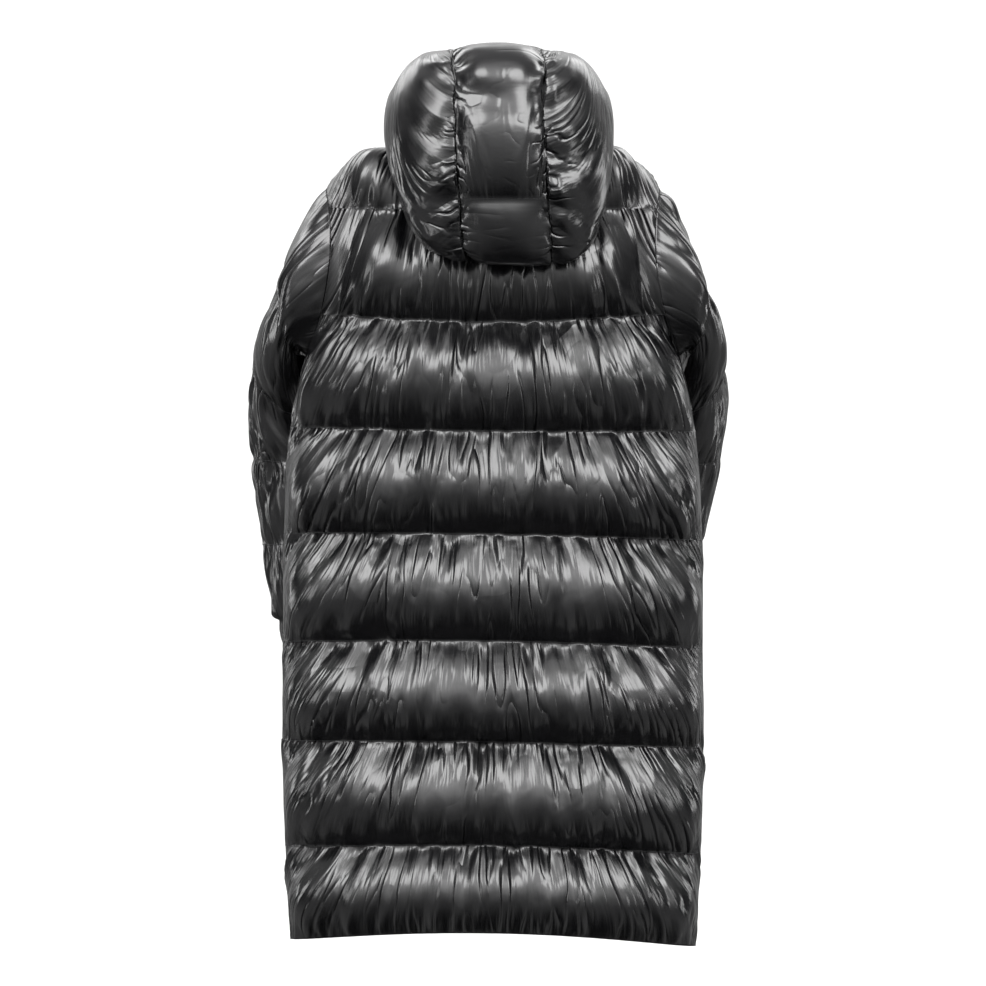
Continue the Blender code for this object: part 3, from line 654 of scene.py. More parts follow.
class Shader:
    # The nodes of a material or a world under construction.

    def __init__(self, owner, finish="Principled BSDF"):
        owner.use_nodes = True
        self.owner = owner
        self.tree = owner.node_tree
        self.finish = self.tree.nodes[finish]

    def node(self, kind, settings=None, *values, output=0, **named):
        made = self.tree.nodes.new("ShaderNode" + kind)
        for key, value in (settings or {}).items():
            setattr(made, key, value)
        for index, value in [*enumerate(values), *named.items()]:
            self.put(made.inputs[index.replace("_", " ") if isinstance(index, str) else index], value)
        return Socket(self, made.outputs[output])

    def put(self, socket, value):
        if isinstance(value, Socket):
            self.tree.links.new(value.socket, socket)
        elif value is not None:
            socket.default_value = value

    def set(self, **values):
        for key, value in values.items():
            self.put(self.finish.inputs[key.replace("_", " ")], value)
        return self.owner


def newShader(name):
    return Shader(bpy.data.materials.new(name))


nylonLook = {
    "colour": (0.0016, 0.0016, 0.0021, 1.0),
    "roughness": 0.24,
    "roughnessSpread": 0.10,
    "roughnessScale": (9.0, 9.0, 14.0),
    "specular": 0.8,
    "creases": 0.0030,  # metres: narrow creases that run in from the seams
    "creaseScale": (54.0, 100.0, 8.0),
    "creaseDetail": 0.6,
    "creaseBend": 0.15,
    "sharpness": 5.0,
    "patches": 5.0,  # how sharply creased patches and smooth ones part
    "patchScale": (13.0, 100.0, 11.0),
    "swells": 0.0046,  # soft ridges between them
    "swellScale": (32.0, 100.0, 6.0),
    "fine": 0.0009,
    "fineScale": (125.0, 100.0, 14.0),
    "dents": 0.0012,
    "dentScale": 26.0,
    "dentBend": 0.6,
    "weave": 0.000004,
    "weaveScale": 2200.0,
}


def makeNylon(name, look):
    shader = newShader(name)
    cloth = shader.node("Attribute", {"attribute_name": "cloth"}, output=1)
    near = shader.node("Attribute", {"attribute_name": "nearSeam"}, output=2)

    def noiseAt(scale, detail=0.0, distortion=0.0):
        spot = shader.node("VectorMath", {"operation": "MULTIPLY"}, cloth, scale)
        return shader.node("TexNoise", {}, Vector=spot, Scale=1.0, Detail=detail, Distortion=distortion)

    def fromMiddle(noise):
        return ((noise - 0.5) * 2.0).math("ABSOLUTE")

    patches = look["patches"]
    smoothness = (noiseAt(look["patchScale"]) * patches + (0.5 - patches / 2)).math("MAXIMUM", 0.0)
    # flat, with narrow creases where the noise passes its middle
    creaseNoise = noiseAt(look["creaseScale"], look["creaseDetail"], look["creaseBend"])
    far = (fromMiddle(creaseNoise) * look["sharpness"]).math("MINIMUM", 1.0)
    creases = far * (2.0 - far) * smoothness.math("MINIMUM", 1.0)
    swells = noiseAt(look["swellScale"], 1.0)
    fine = fromMiddle(noiseAt(look["fineScale"], 1.0))
    dents = noiseAt((look["dentScale"],) * 3, 1.0, look["dentBend"])
    weave = noiseAt((look["weaveScale"],) * 3)
    folded = creases * look["creases"] + swells * look["swells"] + fine * look["fine"]
    height = (near * 0.5 + 0.5) * folded + dents * look["dents"] + weave * look["weave"]
    spread = look["roughnessSpread"]
    return shader.set(
        Base_Color=look["colour"],
        Roughness=noiseAt(look["roughnessScale"], 2.0) * spread + (look["roughness"] - spread / 2),
        Specular_IOR_Level=look["specular"],
        Normal=shader.node("Bump", {}, Strength=1.0, Distance=1.0, Height=height),
    )


nylon = makeNylon("glossy nylon shell", nylonLook)
hoodNylon = makeNylon("glossy nylon shell of the hood", {**nylonLook, "dents": 0.0036, "dentScale": 13.0})
lining = makeNylon("nylon lining", {**nylonLook, "roughness": 0.42, "creases": 0.0006, "swells": 0.002})


# Body panels

backPanel = {"columns": 212, "steps": 13, "liningStep": 13, "seed": 11, "over": 1.6, "fill": 0.75}
fronts = {"columns": 106, "steps": 13, "liningStep": 13, "seed": 23, "over": 1.6, "fill": 0.7}
gatherEnds = {
    "edge": 0.04,  # share of a panel's half width over which its gathers start
    "end": 0.02,  # and of a channel at the neck and the hem
    "hem": 0.35,  # share of its gathers that the hem keeps
    "flat": 0.55,  # share of their height where the padding is flat
    "full": 0.45,  # and how much is added where it stands full
    "seamStreaks": 0.6,
    "streaks": 0.4,
}
grids = {}


def queuePiece(name, grid, height, look):
    # the cloth starts with its gathers part raised, and is cut as if they stood higher
    normal = grid["normal"]
    full = grid["base"] + normal * (body["seamThickness"] + grid["crown"])[..., None]
    start = full + normal * height[..., None]
    inside = grid["base"] - normal * grid.get("liningDepth", body["liningDepth"])
    if "sewn" in grid:
        start[0], inside[0] = grid["sewn"]
    last = len(start) - 1
    rows = sorted({*range(0, last, look["liningStep"]), last})
    grids[name] = {**grid, "height": height, "start": start, "lining": inside, "liningRows": rows,
                   "fill": look["fill"]}
    if "over" not in look:
        return
    cut = full + normal * (height * look["over"])[..., None]
    cut[0] = start[0]
    pins = np.zeros(height.shape, bool)
    pins[grid["seamRows"]] = True
    if not grid["closed"]:
        pins[:, 0] = pins[:, -1] = True
    addClothJob(name, start, cut, pins, grid["closed"])


def drawIn(base, first, last):
    # moves the end columns in by their gaps to the next pieces
    for column, beside, gap in ((0, 1, first), (-1, -2, last)):
        base[:, column] += gap * unit(base[:, beside] - base[:, column])


def seamNearness(v):
    # 1 at a channel's seams and 0 halfway between them
    part = v % 1
    return 1 - 4 * part * (1 - part)


def makeBodyPanel(name, look, side, columns, still=0):
    # side is 1 for the back and -1 for a front
    rng = np.random.default_rng(look["seed"])
    steps, ends = look["steps"], gatherEnds
    rows = bandRows(body["bands"], steps)
    rows[np.argmin(np.abs(rows - armhole["armpit"]))] = armhole["armpit"]
    u = columns(rows)
    v = rows[:, None] * np.ones_like(u)
    across = np.abs(u)
    base = bodyBase(u, v, side)
    normal = bodyNormal(u, v, side)
    if side < 0:
        centre = 0 if u[0, 0] > 0 else -1
        normal[:, centre] = upright(normal[:, centre])
    drawIn(base, body["seamGap"] / 2, body["seamGap"] / 2)
    seams = base[::steps, u.shape[1] // 2]
    height = gatherHeights(alongRows(base, still), v, length(np.diff(seams, axis=0)), folds, rng, still=still)
    free = np.where(v < 1, ramp(across, *padding["underHood"]), 1.0)
    edge = clamp((1 - across) / ends["edge"])
    if side < 0:
        edge = edge * clamp((across - placketEdge(v)) / ends["edge"])
    tips = clamp(v / ends["end"]) * np.clip((body["bands"] - v) / ends["end"], ends["hem"], 1)
    height = height * free * edge * tips * (ends["flat"] + ends["full"] * fullness(u, v, side))
    queuePiece(name, {
        "base": base, "normal": normal, "rows": rows, "u": u, "closed": False,
        "crown": bodyRise(u, v, side) * arcPuff(v % 1),
        "seamRows": np.arange(0, len(rows), steps),
        "nearSeam": (ends["streaks"] + ends["seamStreaks"] * seamNearness(v)) * free,
        "still": still,
    }, height, look)


def backColumns(rows):
    return np.linspace(1, -1, backPanel["columns"] + 1)[None, :] * np.ones((len(rows), 1))


def leftColumns(rows):
    edge = placketEdge(rows)[:, None]
    shares = np.linspace(0, 1, fronts["columns"] + 1)[None, :]
    return edge + (1 - edge) * shares


def rightColumns(rows):
    return -leftColumns(rows)[:, ::-1]


# Sleeves: the seams' centres, their turn from level to upright and their pitch in degrees,
# and their radii across and front to back

sleeves = {
    "left": (
        (0.280, -0.015, -0.243, 8, 12, 0.0550, 0.082),
        (0.297, -0.122, -0.345, 52, 30, 0.0560, 0.052),
        (0.286, -0.154, -0.447, 84, 6, 0.0600, 0.050),
        (0.273, -0.160, -0.565, 93, 2, 0.0560, 0.048),
        (0.260, -0.162, -0.672, 96, 0, 0.0500, 0.046),
        (0.252, -0.162, -0.715, 97, 0, 0.0460, 0.044),
    ),
    "right": (
        (0.280, -0.015, -0.243, 8, 12, 0.0550, 0.082),
        (0.288, -0.124, -0.346, 52, 30, 0.0540, 0.052),
        (0.273, -0.162, -0.450, 86, 6, 0.0580, 0.050),
        (0.238, -0.178, -0.562, 97, 2, 0.0540, 0.048),
        (0.214, -0.184, -0.666, 99, 0, 0.0490, 0.046),
        (0.204, -0.184, -0.710, 99, 0, 0.0460, 0.044),
    ),
    "rise": 0.020,
    "outerRise": 0.005,
    "riseShare": 0.16,
    "contactAngle": 135,  # degrees round from the shoulder: where the sleeve lies against the body
    "contactFlatten": 0.8,
    "gatherFlatten": 0.35,
    "clear": 0.003,  # metres that the upper sleeve stands off the body
    "fullGathers": 0.09,  # metres: a channel this deep has its gathers in full
    "leastGathers": 0.25,
    "end": 0.05,
    "cuff": 0.3,  # share of its gathers that the cuff's end keeps
    "streaks": (1.2, 0.5),
    "columns": 96,
    "steps": 12,
    "liningStep": 4,
    "seed": 41,
    "over": 1.6,
    "fill": 0.7,
}


def armholeRing(which, side, angle):
    # the armhole's edge read from the panels sewn to it, all the way round from the shoulder
    back = grids["back_panel"]
    front = grids["front_left" if side > 0 else "front_right"]
    last = int(np.argmin(np.abs(back["rows"] - armhole["armpit"]))) + 1
    place = armholeAngle(back["rows"][:last])
    behind = back[which][:last, 0 if side > 0 else -1]
    before = front[which][:last, -1 if side > 0 else 0]
    top = (behind[:1] + before[:1]) / 2
    pit = (behind[-1:] + before[-1:]) / 2
    ring = joined(top, behind[1:-1], pit, before[-2:0:-1], top)
    return between(angle, joined(place, 2 * np.pi - place[-2:0:-1], [2 * np.pi]), ring)


def makeSleeve(name, side):
    look = sleeves
    stations = look["left" if side > 0 else "right"]
    rng = np.random.default_rng(look["seed"] + side)
    centre, up = armholeFrame()
    start = (*centre, np.degrees(np.arctan2(up[0], up[2])), 0, length(up), armhole["halfDepth"])
    bands, steps = len(stations), look["steps"]
    rows = bandRows(bands, steps)
    curve = smoothCurve(rows, np.arange(bands + 1), [start, *stations])
    turn, pitch = np.radians(curve[:, 3]), np.radians(curve[:, 4])
    outerRadius, sideRadius = curve[:, 5], curve[:, 6]
    ring = fullTurn(look["columns"])
    angle = ring[None, :] * np.ones((len(rows), 1))
    upward = stacked(np.sin(turn), 0 * turn, np.cos(turn))
    along = stacked(np.cos(turn), 0 * turn, -np.sin(turn))
    backward = np.cos(pitch)[:, None] * np.array([0.0, 1.0, 0.0]) + np.sin(pitch)[:, None] * along
    base = (curve[:, None, :3] + upward[:, None] * outerRadius[:, None, None] * np.cos(angle)[..., None]
            + backward[:, None] * sideRadius[:, None, None] * np.sin(angle)[..., None])
    fade = clamp(1 - rows)[:, None, None] ** 2
    base = base + fade * (armholePoint(ring) - base[0])
    base[..., 0] += look["clear"] * (clamp(rows * 6) * clamp(2 - rows))[:, None]  # down to the second seam
    aroundSleeve = np.roll(base, -1, axis=1) - np.roll(base, 1, axis=1)
    mirror = np.array([side, 1.0, 1.0])
    normal = unit(np.cross(np.gradient(base, rows, axis=0), aroundSleeve)) * mirror
    base = base * mirror
    widths = length(np.diff(base[::steps], axis=0))
    bandWidths = widths[np.minimum(np.floor(rows).astype(int), bands - 1)]
    widest = look["outerRise"] + (look["rise"] - look["outerRise"]) * np.sin(angle) ** 4
    full = np.minimum(widest, look["riseShare"] * bandWidths)
    contact = clamp(np.cos(angle - np.radians(look["contactAngle"])))
    full = full * (1 - look["contactFlatten"] * contact)
    around = girth(base)
    down = rows[:, None] * np.ones_like(angle)
    height = gatherHeights(angle / (2 * np.pi) * around, down, widths.mean(axis=1), folds, rng, around)
    tight = np.clip(bandWidths / look["fullGathers"], look["leastGathers"], 1)
    height = height * tight * (1 - look["gatherFlatten"] * contact)
    height = height * (clamp(down / look["end"]) * np.clip((bands - down) / look["end"], look["cuff"], 1))
    most, least = look["streaks"]
    turned = slice(None, None, int(side))  # the right sleeve's columns run the other way round
    queuePiece(name, {
        "base": base[:, turned], "normal": normal[:, turned], "closed": True,
        "crown": (full * arcPuff(rows % 1)[:, None])[:, turned],
        "seamRows": np.arange(0, len(rows), steps),
        "nearSeam": (most * seamNearness(down) - least)[:, turned],
        "sewn": [armholeRing(which, side, ring)[turned] for which in ("start", "lining")],
    }, height[:, turned], look)


# Hood: a row for each loop from the neck seam to the rim of the opening

hood = {
    "loops": (  # half width; y behind, aside and in front; z behind, aside and in front; roundness
        (0.085, 0.068, 0.000, -0.080, 0.006, 0.002, -0.043, 1.00),
        (0.097, 0.090, 0.002, -0.094, 0.036, 0.022, -0.010, 1.00),
        (0.112, 0.153, 0.031, -0.104, -0.051, 0.033, 0.004, 0.90),
        (0.128, 0.212, 0.063, -0.104, -0.169, 0.038, 0.018, 0.80),
        (0.142, 0.264, 0.080, -0.101, -0.058, 0.046, 0.030, 0.75),
        (0.118, 0.247, 0.080, -0.090, 0.072, 0.080, 0.044, 0.75),
        (0.073, 0.182, 0.048, -0.076, 0.125, 0.116, 0.056, 0.90),
    ),
    "liningDepth": 0.0025,
    "stripTurns": (27, 24, 23, 21.5, 18.5, 24, 50),  # degrees from the centre to its seams, by loop
    "seamGap": 0.0008,  # metres off each seam beside the strip
    "neckFront": 162,
    "crossSeams": (0.0, 1.75, 3.75, 6.0),
    "softFold": (4.72, 0.16, 0.6),  # the upper cross seam's place, its half width and its depth
    "stripRise": 0.019,
    "sideRise": 0.028,
    "frontRise": 0.010,
    "frontFrom": (70, 110),
    "taper": (34, 30),  # degrees over which the sides fill out, from the strip and from the front
    "napeRise": 0.003,
    "nape": 3.4,
    "napeAside": (40, 70),
    "napeEnd": (150, 110),
    "fullFrom": 3.0,
    "fullTo": 4.5,
    "lean": (-0.008, 0.075),
    "gatherFrom": 0.8,  # loops over which the gathers start at the neck
    "gatherTo": 0.3,  # end at the rim
    "gatherOff": 0.15,  # and keep off a cross seam
    "normalStep": (3, 0.08),  # degrees and loops over which the surface's slopes are read
    "stepsPerLoop": 12,
    "liningStep": 6,
    "sideColumns": 56,
    "stripColumns": 26,
    "seed": 57,
    "streaks": (2.1, 0.75),
    "gather": 2.4,
    "over": 1.4,
    "fill": 0.7,
}
lastLoop = len(hood["loops"]) - 1


def hoodLoop(t):
    return np.moveaxis(smoothCurve(t, np.arange(lastLoop + 1), hood["loops"]), -1, 0)


def hoodFrontAngle(t):
    halfWidth, roundness = hoodLoop(t)[0], hoodLoop(t)[7]
    return 180 - np.degrees(np.arcsin((placket["halfWidth"] / halfWidth) ** (1 / roundness)))


def hoodEdgeAngle(t):
    # where a hood side meets the placket, from the neck's edge up
    return hood["neckFront"] + (hoodFrontAngle(t) - hood["neckFront"]) * clamp(t)


def stripTurn(t):
    return smoothCurve(t, np.arange(lastLoop + 1), hood["stripTurns"])


def hoodBase(angle, t):
    halfWidth, backY, sideY, frontY, backZ, sideZ, frontZ, roundness = hoodLoop(t)
    turned = np.radians(angle)
    back = np.cos(turned)
    droop = np.sin(clamp(back) * np.pi / 2)
    front = clamp(-back)
    side = np.sin(turned)
    x = halfWidth * np.sign(side) * np.abs(side) ** roundness
    y = sideY + np.where(back > 0, backY - sideY, sideY - frontY) * back
    z = sideZ + (backZ - sideZ) * droop + (frontZ - sideZ) * front**2
    lean = hood["lean"][0] * clamp(t) + hood["lean"][1] * np.minimum(z, 0) * clamp(t - 1)
    return stacked(x + lean * clamp(1 + back), y, z)


def hoodNormal(angle, t):
    turn, step = hood["normalStep"]
    alongT = hoodBase(angle, np.clip(t + step, 0, lastLoop)) - hoodBase(angle, np.clip(t - step, 0, lastLoop))
    return unit(np.cross(alongT, hoodBase(angle + turn, t) - hoodBase(angle - turn, t)))


def ellipsePuff(part):
    return np.sin(np.arccos(np.clip(1 - 2 * part, -1, 1)))


def hoodRise(angle, t, strip):
    across, seamAngle = np.abs(angle), stripTurn(t)
    if strip:
        seams = np.array(hood["crossSeams"])
        cell = np.clip(np.searchsorted(seams, t, side="right") - 1, 0, len(seams) - 2)
        foldAt, foldWidth, foldDepth = hood["softFold"]
        edge = ellipsePuff((t - seams[cell]) / (seams[cell + 1] - seams[cell]))
        edge = edge * (1 - foldDepth * np.exp(-((t - foldAt) / foldWidth) ** 2))
        edge = edge * clamp(1 - (across / seamAngle) ** 2)
        full = hood["stripRise"]
    else:
        fromStrip = clamp((across - seamAngle) / hood["taper"][0])
        fromFront = clamp((hoodFrontAngle(t) - across) / hood["taper"][1])
        edge = np.sin(ramp(t, 1, hood["fullFrom"]) * np.pi / 2)
        edge = edge * ellipsePuff(0.5 + ramp(t, hood["fullTo"], lastLoop) / 2)
        edge = edge * np.sin(fromStrip * np.pi / 2) ** 0.8 * ellipsePuff(fromFront / 2)
        full = hood["sideRise"] + (hood["frontRise"] - hood["sideRise"]) * ramp(across, *hood["frontFrom"])
    aside = ramp(across, *hood["napeAside"])
    nape = clamp((hood["nape"] - t) / (1 + aside) + aside / 2) * ramp(across, *hood["napeEnd"])
    return (full + (hood["napeRise"] - full) * nape) * edge


def neckRing(which, angle):
    # the neck's edge read from the panels sewn to it. 0 is the centre back
    corner, back = neck["corner"], grids["back_panel"]
    inNeck = np.abs(back["u"][0]) <= corner
    places = [back["u"][0][inNeck] / corner * 90]
    points = [back[which][0][inNeck]]
    for name, sign in (("front_left", 1), ("front_right", -1)):
        across = np.abs(grids[name]["u"][0])
        inFront = across <= corner
        turn = 90 + (hood["neckFront"] - 90) * (corner - across[inFront]) / (corner - across.min())
        places.append(sign * turn)
        points.append(grids[name][which][0][inFront])
    places = np.concatenate(places)
    points = np.concatenate(points) + body["seamGap"] * np.array([0.0, 0.0, 1.0])
    order = np.argsort(places)
    return between(angle, places[order], points[order])


def makeHoodPiece(name, side, seed):
    # side is 1 for the wearer's left, -1 for the right and 0 for the strip between the sides
    rng = np.random.default_rng(hood["seed"] + seed)
    strip = side == 0
    rows = np.linspace(0, lastLoop, hood["stepsPerLoop"] * lastLoop + 1)
    t = rows[:, None]
    seamAngle, neckAngle = stripTurn(t), hood["stripTurns"][0]
    gaps = [hood["seamGap"], hood["seamGap"] if strip else body["seamGap"]]
    if strip:
        shares = np.linspace(-1, 1, hood["stripColumns"] + 1)[None, :]
        angles = seamAngle * shares
        neckAngles = neckAngle * shares
    else:
        shares = np.linspace(0, 1, hood["sideColumns"] + 1)[None, :]
        behind, ahead = clamp(shares / 0.5), clamp(shares / 0.5 - 1)
        angles = seamAngle + (90 - seamAngle) * behind + (hoodFrontAngle(t) - 90) * ahead
        neckAngles = neckAngle + (90 - neckAngle) * behind + (hood["neckFront"] - 90) * ahead
        if side < 0:
            angles, neckAngles, gaps = -angles[:, ::-1], -neckAngles[:, ::-1], gaps[::-1]
    t = t * np.ones_like(angles)
    angles = neckAngles + (angles - neckAngles) * clamp(t)
    base = hoodBase(angles, t)
    drawIn(base, *gaps)
    normal = hoodNormal(angles, t)
    if not strip:
        front = -1 if side > 0 else 0
        normal[:, front] = upright(normal[:, front])
    # gathers run sideways, from the seams beside the strip
    width = float(length(np.diff(base, axis=1)).sum(axis=1).mean())
    along = alongRows(np.swapaxes(base, 0, 1))
    fromSeam = np.linspace(0, 1, angles.shape[1])[:, None] * np.ones_like(along)
    height = gatherHeights(along, fromSeam, [width], {**folds, **hoodFolds[name]}, rng).T
    seams = hood["crossSeams"] if strip else (0.0, lastLoop)
    seamRows = [int(np.argmin(np.abs(rows - seam))) for seam in seams]
    clear = clamp(t / hood["gatherFrom"]) * clamp((lastLoop - t) / hood["gatherTo"])
    for seam in seams[1:-1]:
        clear = clear * clamp(np.abs(t - seam) / hood["gatherOff"])
    most, least = hood["streaks"]
    queuePiece(name, {
        "base": base, "normal": normal, "closed": False,
        "crown": hoodRise(angles, t, strip),
        "liningDepth": hood["liningDepth"],
        "seamRows": np.array(seamRows),
        "nearSeam": most * clamp(1 - 4 * np.minimum(fromSeam, 1 - fromSeam).T) ** 1.5 - least,
        "sewn": [neckRing(which, neckAngles[0]) for which in ("start", "lining")],
        "sideways": True,
    }, height * hood["gather"] * clear, hood)


def hoodGathers(long, lowLong, short, lowShort):
    # how far the long and the short gathers reach in from each side
    return {"families": (
        {"pitch": (0.014, 0.040), "halfWidth": (0.0038, 0.0075), "tall": (0.0022, 0.0058), "creases": 0.45,
         "reach": long, "lowReach": lowLong},
        {"pitch": (0.007, 0.014), "halfWidth": (0.0026, 0.0042), "tall": (0.0016, 0.0036), "creases": 0.5,
         "reach": short, "lowReach": lowShort},
    ), "fan": 0.0, "fanEdge": 0.0, "slant": 0.45, "crimp": 0.7}


hoodFolds = {
    "hood_centre": hoodGathers((0.20, 0.60), (0.15, 0.50), (0.08, 0.22), (0.08, 0.22)),
    "hood_left": hoodGathers((0.08, 0.34), (0.03, 0.08), (0.03, 0.09), (0.02, 0.05)),
    "hood_right": hoodGathers((0.03, 0.08), (0.08, 0.34), (0.02, 0.05), (0.03, 0.09)),
}

# Placket, press studs and stitches

placketLook = {
    "columns": 14,
    "hoodRows": 38,
    "steps": 12,
    "liningStep": 3,
    "hoodFrom": 0.5,  # loops up from the neck's edge
    "edge": 0.0035,  # metres: how thick the padding stands at its edges
    "quilt": 0.0016,  # and how far it dips where a channel's seam runs into it
    "boxy": 0.4,  # lower for a flatter top with steeper sides
    "streaks": (0.4, 0.95),
    "fill": 0.3,
}


def makePlacket():
    look = placketLook
    across = np.linspace(-1, 1, look["columns"] + 1)[None, :]
    inner = 1 - body["seamGap"] / placket["halfWidth"]
    t = np.linspace(lastLoop, look["hoodFrom"], look["hoodRows"])[:, None] * np.ones_like(across)
    angle = 180 - across * (180 - hoodEdgeAngle(t)) * inner
    v = bandRows(body["bands"], look["steps"])[:, None] * np.ones_like(across)
    u = across * placketEdge(v) * inner
    base = joined(hoodBase(angle, t), bodyBase(u, v, -1))
    normal = upright(joined(hoodNormal(angle, t), bodyNormal(u, v, -1)))
    part = joined(0.5 + 0 * t, v % 1)
    dip = look["quilt"] * (1 - ellipsePuff(part))
    top = clamp(1 - across**2) ** look["boxy"]
    crown = look["edge"] + (placket["rise"] - look["edge"] - dip) * top - body["seamThickness"]
    most, least = look["streaks"]
    queuePiece("front_placket", {
        "base": base, "normal": normal, "closed": False, "crown": crown,
        "seamRows": np.array([0, len(base) - 1]),
        "nearSeam": (np.abs(across) * np.ones_like(part)) ** 4 * most - least,
        "sideways": True,
    }, 0 * crown, look)


studLook = {
    "places": (0.5, 1.5, 2.5, 3.5, 4.5, 5.5, 6.5),  # channels down
    "lift": 0.0085,  # metres over the fronts' seams
    "profile": (  # radius and height: a low dome inside a rolled edge
        (0.0, 0.00215), (0.0022, 0.00210), (0.0042, 0.00190), (0.0054, 0.00165), (0.0057, 0.00160),
        (0.0060, 0.00195), (0.0064, 0.00265), (0.0068, 0.00290), (0.0072, 0.00265), (0.0075, 0.00190),
        (0.0075, 0.00080), (0.0071, 0.00015), (0.0066, 0.0), (0.0, 0.0),
    ),
    "segments": 48,
    "colour": (0.20, 0.20, 0.21, 1.0),
    "roughness": 0.22,
    "metallic": 0.9,
    "brushed": 0.06,  # how much the roughness varies
    "grain": 900.0,
}


def makeStudMetal(look):
    shader = newShader("dark stud metal")
    place = shader.node("TexCoord", {}, output=3)
    grain = shader.node("TexNoise", {}, Vector=place, Scale=look["grain"], Detail=2.0)
    return shader.set(
        Base_Color=look["colour"], Metallic=look["metallic"],
        Roughness=grain * look["brushed"] + (look["roughness"] - look["brushed"] / 2),
    )


def addStud(number, v, material, look):
    segments, profile = look["segments"], look["profile"]
    turn = fullTurn(segments)
    points = [(0.0, 0.0, profile[0][1])]
    for radius, height in profile[1:-1]:
        points += [(radius * math.cos(a), radius * math.sin(a), height) for a in turn]
    points.append((0.0, 0.0, 0.0))
    last = len(points) - 1
    low = last - segments
    faces = [(0, 1 + i, 1 + (i + 1) % segments) for i in range(segments)]
    faces += gridFaces(len(profile) - 2, segments, closed=True, shift=1).tolist()
    faces += [(low + i, last, low + (i + 1) % segments) for i in range(segments)]
    obj = addMesh(f"press_stud_cap_{number}", points, faces, material)
    middle = np.array(1e-6)
    normal = bodyNormal(middle, np.array(v), -1)
    obj.location = bodyBase(middle, v, -1) + normal * look["lift"]
    obj.rotation_euler = Vector(normal).to_track_quat("Z", "Y").to_euler()
    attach(obj, "root")
    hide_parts(f"stud_{number}")


stitchLook = {
    "pitch": 0.0042,
    "length": 0.0033,
    "radius": 0.00026,
    "lift": 0.0002,
    "rings": ((-0.5, 0.4), (-0.4, 1.0), (0.4, 1.0), (0.5, 0.4)),  # places along it and thicknesses
    "sides": 5,
    "colour": (0.012, 0.012, 0.013, 1.0),
    "roughness": 0.55,
}


def stitchRun(path, normal, closed=False):
    # the corners of every stitch along a seam
    look = stitchLook
    if closed:
        path, normal = joined(path, path[:1]), joined(normal, normal[:1])
    far = runLengths(path)
    count = max(int(far[-1] / look["pitch"]), 1)
    middle = (np.arange(count) + 0.5) * far[-1] / count
    half = look["length"] / 2
    ahead = unit(between(middle + half, far, path) - between(middle - half, far, path) + 1e-9)
    up = between(middle, far, normal)
    up = unit(up - ahead * (up * ahead).sum(axis=-1, keepdims=True))
    aside = np.cross(up, ahead)
    centre = between(middle, far, path) + up * look["lift"]
    turn = fullTurn(look["sides"])
    radius = look["radius"]
    shape = np.array([(along * look["length"], radius * wide * math.cos(a), radius * wide * math.sin(a))
                      for along, wide in look["rings"] for a in turn])
    return (centre[:, None] + ahead[:, None] * shape[None, :, :1] + aside[:, None] * shape[None, :, 1:2]
            + up[:, None] * shape[None, :, 2:])


def addStitches(name, runs, material):
    corners = np.concatenate(runs)
    count, each = corners.shape[:2]
    sides = stitchLook["sides"]
    shifts = each * np.arange(count)[:, None, None]
    around = gridFaces(each // sides, sides, closed=True)[:, [0, 3, 2, 1]]
    ends = np.array([range(sides)[::-1], range(each - sides, each)])
    faces = (around + shifts).reshape(-1, 4).tolist() + (ends + shifts).reshape(-1, sides).tolist()
    obj = addMesh(name, corners.reshape(-1, 3).tolist(), faces, material)
    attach(obj, "root")
    stage(f"{name}: {count} stitches")


stage("surfaces ready")
makeBodyPanel("back_panel", backPanel, 1, backColumns)
# the last value says where a front's row meets the placket: at its start (-1) or its end (1)
makeBodyPanel("front_left", fronts, -1, leftColumns, -1)
makeBodyPanel("front_right", {**fronts, "seed": 29}, -1, rightColumns, 1)
makeSleeve("sleeve_left", 1)
makeSleeve("sleeve_right", -1)
makeHoodPiece("hood_centre", 0, 0)
makeHoodPiece("hood_left", 1, 1)
makeHoodPiece("hood_right", -1, 2)
makePlacket()
stage("gathers laid out")
results = runCloth()
stage("cloth settled")
bodyPieces = ("back_panel", "front_left", "front_right")
sewnColumns = {"hood_left": (0,), "hood_right": (-1,), "front_placket": (1, -2)}
sewing = {"stitching_of_body": [], "stitching_of_sleeves_and_hood": []}
for name, grid in grids.items():
    outer = capMoves(results.get(name, grid["start"]), grid)
    if "sewn" in grid:
        outer[0] = grid["start"][0]
    obj = addWall(name + "_cloth", grid, outer, hoodNylon if "hood" in name else nylon, lining)
    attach(obj, "root")
    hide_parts(name)
    stage(f"{name}: {len(obj.data.polygons)} faces")
    runs = sewing["stitching_of_body" if name in bodyPieces else "stitching_of_sleeves_and_hood"]
    normal = grid["normal"]
    if name != "front_placket":
        runs += [stitchRun(outer[row], normal[row], grid["closed"]) for row in grid["seamRows"]]
    runs += [stitchRun(outer[:, column], normal[:, column]) for column in sewnColumns.get(name, ())]
thread = newShader("sewing thread").set(Base_Color=stitchLook["colour"], Roughness=stitchLook["roughness"])
for name, runs in sewing.items():
    addStitches(name, runs, thread)
studMetal = makeStudMetal(studLook)
for number, v in enumerate(studLook["places"], start=1):
    addStud(number, v, studMetal, studLook)


# Camera, light and floor

areaLooks = {
    "softbox": {"x": 1.9, "y": 2.6, "z": 2.2, "aimZ": -0.4, "size": (2.4, 2.4), "behind": 90,
                "in front": 35},
    "tall light": {"x": 2.6, "y": 1.5, "z": -0.3, "aimZ": -0.6, "size": (0.5, 1.8), "behind": 9,
                   "in front": 9},
}


def aimed(obj, place, aim):
    obj.location = place
    obj.rotation_euler = (Vector(aim) - Vector(place)).to_track_quat("-Z", "Y").to_euler()


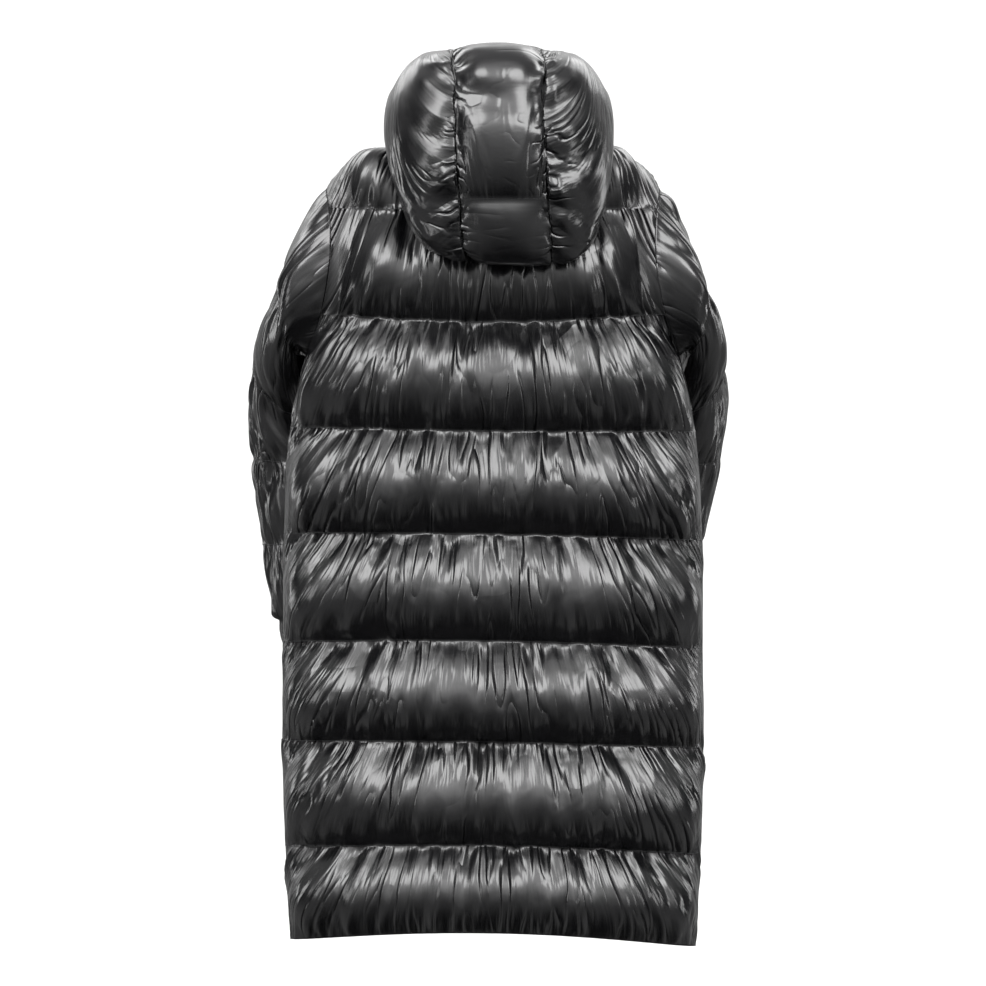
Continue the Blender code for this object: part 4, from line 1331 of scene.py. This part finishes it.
def addAreas(kind, look):
    for where, behind in (("behind", 1), ("in front", -1)):
        for hand, side in (("left", 1), ("right", -1)):
            name = f"{kind} {where} {hand}"
            light = bpy.data.lights.new(name, "AREA")
            light.shape = "ELLIPSE"
            light.size, light.size_y = look["size"]
            light.energy = look[where]
            obj = addObject(name, light)
            obj.visible_camera = False
            aimed(obj, (side * look["x"], behind * look["y"], look["z"]), (0, 0, look["aimZ"]))


stageLook = {"floorBelow": 0.16, "reach": 7.0, "bend": 2.0, "wall": 3.5, "halfWidth": 12.0, "steps": 12,
             "colour": (0.55, 0.55, 0.55, 1.0), "roughness": 0.9, "glow": 0.45}


def addStage():
    # a pale floor that curves up into a backdrop behind the coat and in front of it
    look = stageLook
    reach, bend, steps = look["reach"], look["bend"], look["steps"]
    floorZ = cadLow.z - look["floorBelow"]
    profile = [(-reach - bend, look["wall"])]
    for step in range(steps + 1):
        turn = math.pi / 2 * step / steps
        profile.append((-reach - bend * math.cos(turn), floorZ + bend - bend * math.sin(turn)))
    profile += [(-y, z) for y, z in profile[::-1]]
    points = [(x, y, z) for y, z in profile for x in (-look["halfWidth"], look["halfWidth"])]
    faces = [(2 * i, 2 * i + 1, 2 * i + 3, 2 * i + 2) for i in range(len(profile) - 1)]
    paper = newShader("pale paper").set(Base_Color=look["colour"], Roughness=look["roughness"],
                                        Emission_Color=(1.0, 1.0, 1.0, 1.0), Emission_Strength=look["glow"])
    floor = addMesh("floor and backdrop", points, faces, paper)
    floor.visible_glossy = False


cameraLook = {"place": (0.0, 6.5, -0.494), "aim": (0.0, 0.0, -0.494), "lens": 167.1, "sensor": 36}


def addCamera():
    data = bpy.data.cameras.new("camera")
    data.lens = cameraLook["lens"]
    data.sensor_width = cameraLook["sensor"]
    obj = addObject("camera", data)
    aimed(obj, cameraLook["place"], cameraLook["aim"])
    scene.camera = obj


skyLook = {  # brightness of the studio's ceiling by height: 0 straight down, 0.5 level, 1 straight up
    "stops": ((0.0, 0.04), (0.3, 0.08), (0.44, 0.145), (0.54, 0.22), (0.66, 0.48), (0.8, 1.0), (1.0, 1.5)),
    "strength": 4.6,
    "lowSides": 1.1,  # brightness of what is low and to the sides
    "aside": 0.08,  # share of its brightness that is left straight to the sides
    "facing": 0.35,  # how much brighter it is on the side that the coat's back faces
    "background": 1.0,
}


def addWorld():
    look = skyLook
    world = bpy.data.worlds.new("studio")
    scene.world = world
    sky = Shader(world, "World Output")
    sky.tree.nodes.remove(sky.tree.nodes["Background"])
    direction = sky.node("TexCoord")
    x, y, z = (sky.node("SeparateXYZ", {}, direction, output=axis) for axis in range(3))
    colour = sky.node("ValToRGB", {}, sky.node("MapRange", {}, z, From_Min=-1.0))
    stops = colour.socket.node.color_ramp
    stops.interpolation = "EASE"
    while len(stops.elements) < len(look["stops"]):
        stops.elements.new(0.5)
    for element, (spot, bright) in zip(stops.elements, look["stops"]):
        element.position = spot
        element.color = (bright, bright, bright, 1.0)
    toBack = (y + look["facing"]) * y
    fade = sky.node("MapRange", {}, toBack, From_Max=1 + look["facing"], To_Min=look["aside"])
    ceiling = sky.node("Background", {}, colour, fade * look["strength"])
    below = sky.node("MapRange", {}, z, From_Max=-1.0, To_Max=look["lowSides"])
    lowSides = sky.node("Background", {}, None, x * x * below)
    seen = sky.node("Background", {}, (1.0, 1.0, 1.0, 1.0), look["background"])
    both = sky.node("AddShader", {}, ceiling, lowSides)
    sky.set(Surface=sky.node("MixShader", {}, sky.node("LightPath"), both, seen))


scene.view_settings.view_transform = "Standard"
addStage()
addCamera()
addWorld()
for kind, look in areaLooks.items():
    addAreas(kind, look)

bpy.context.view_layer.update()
stage("scene ready")
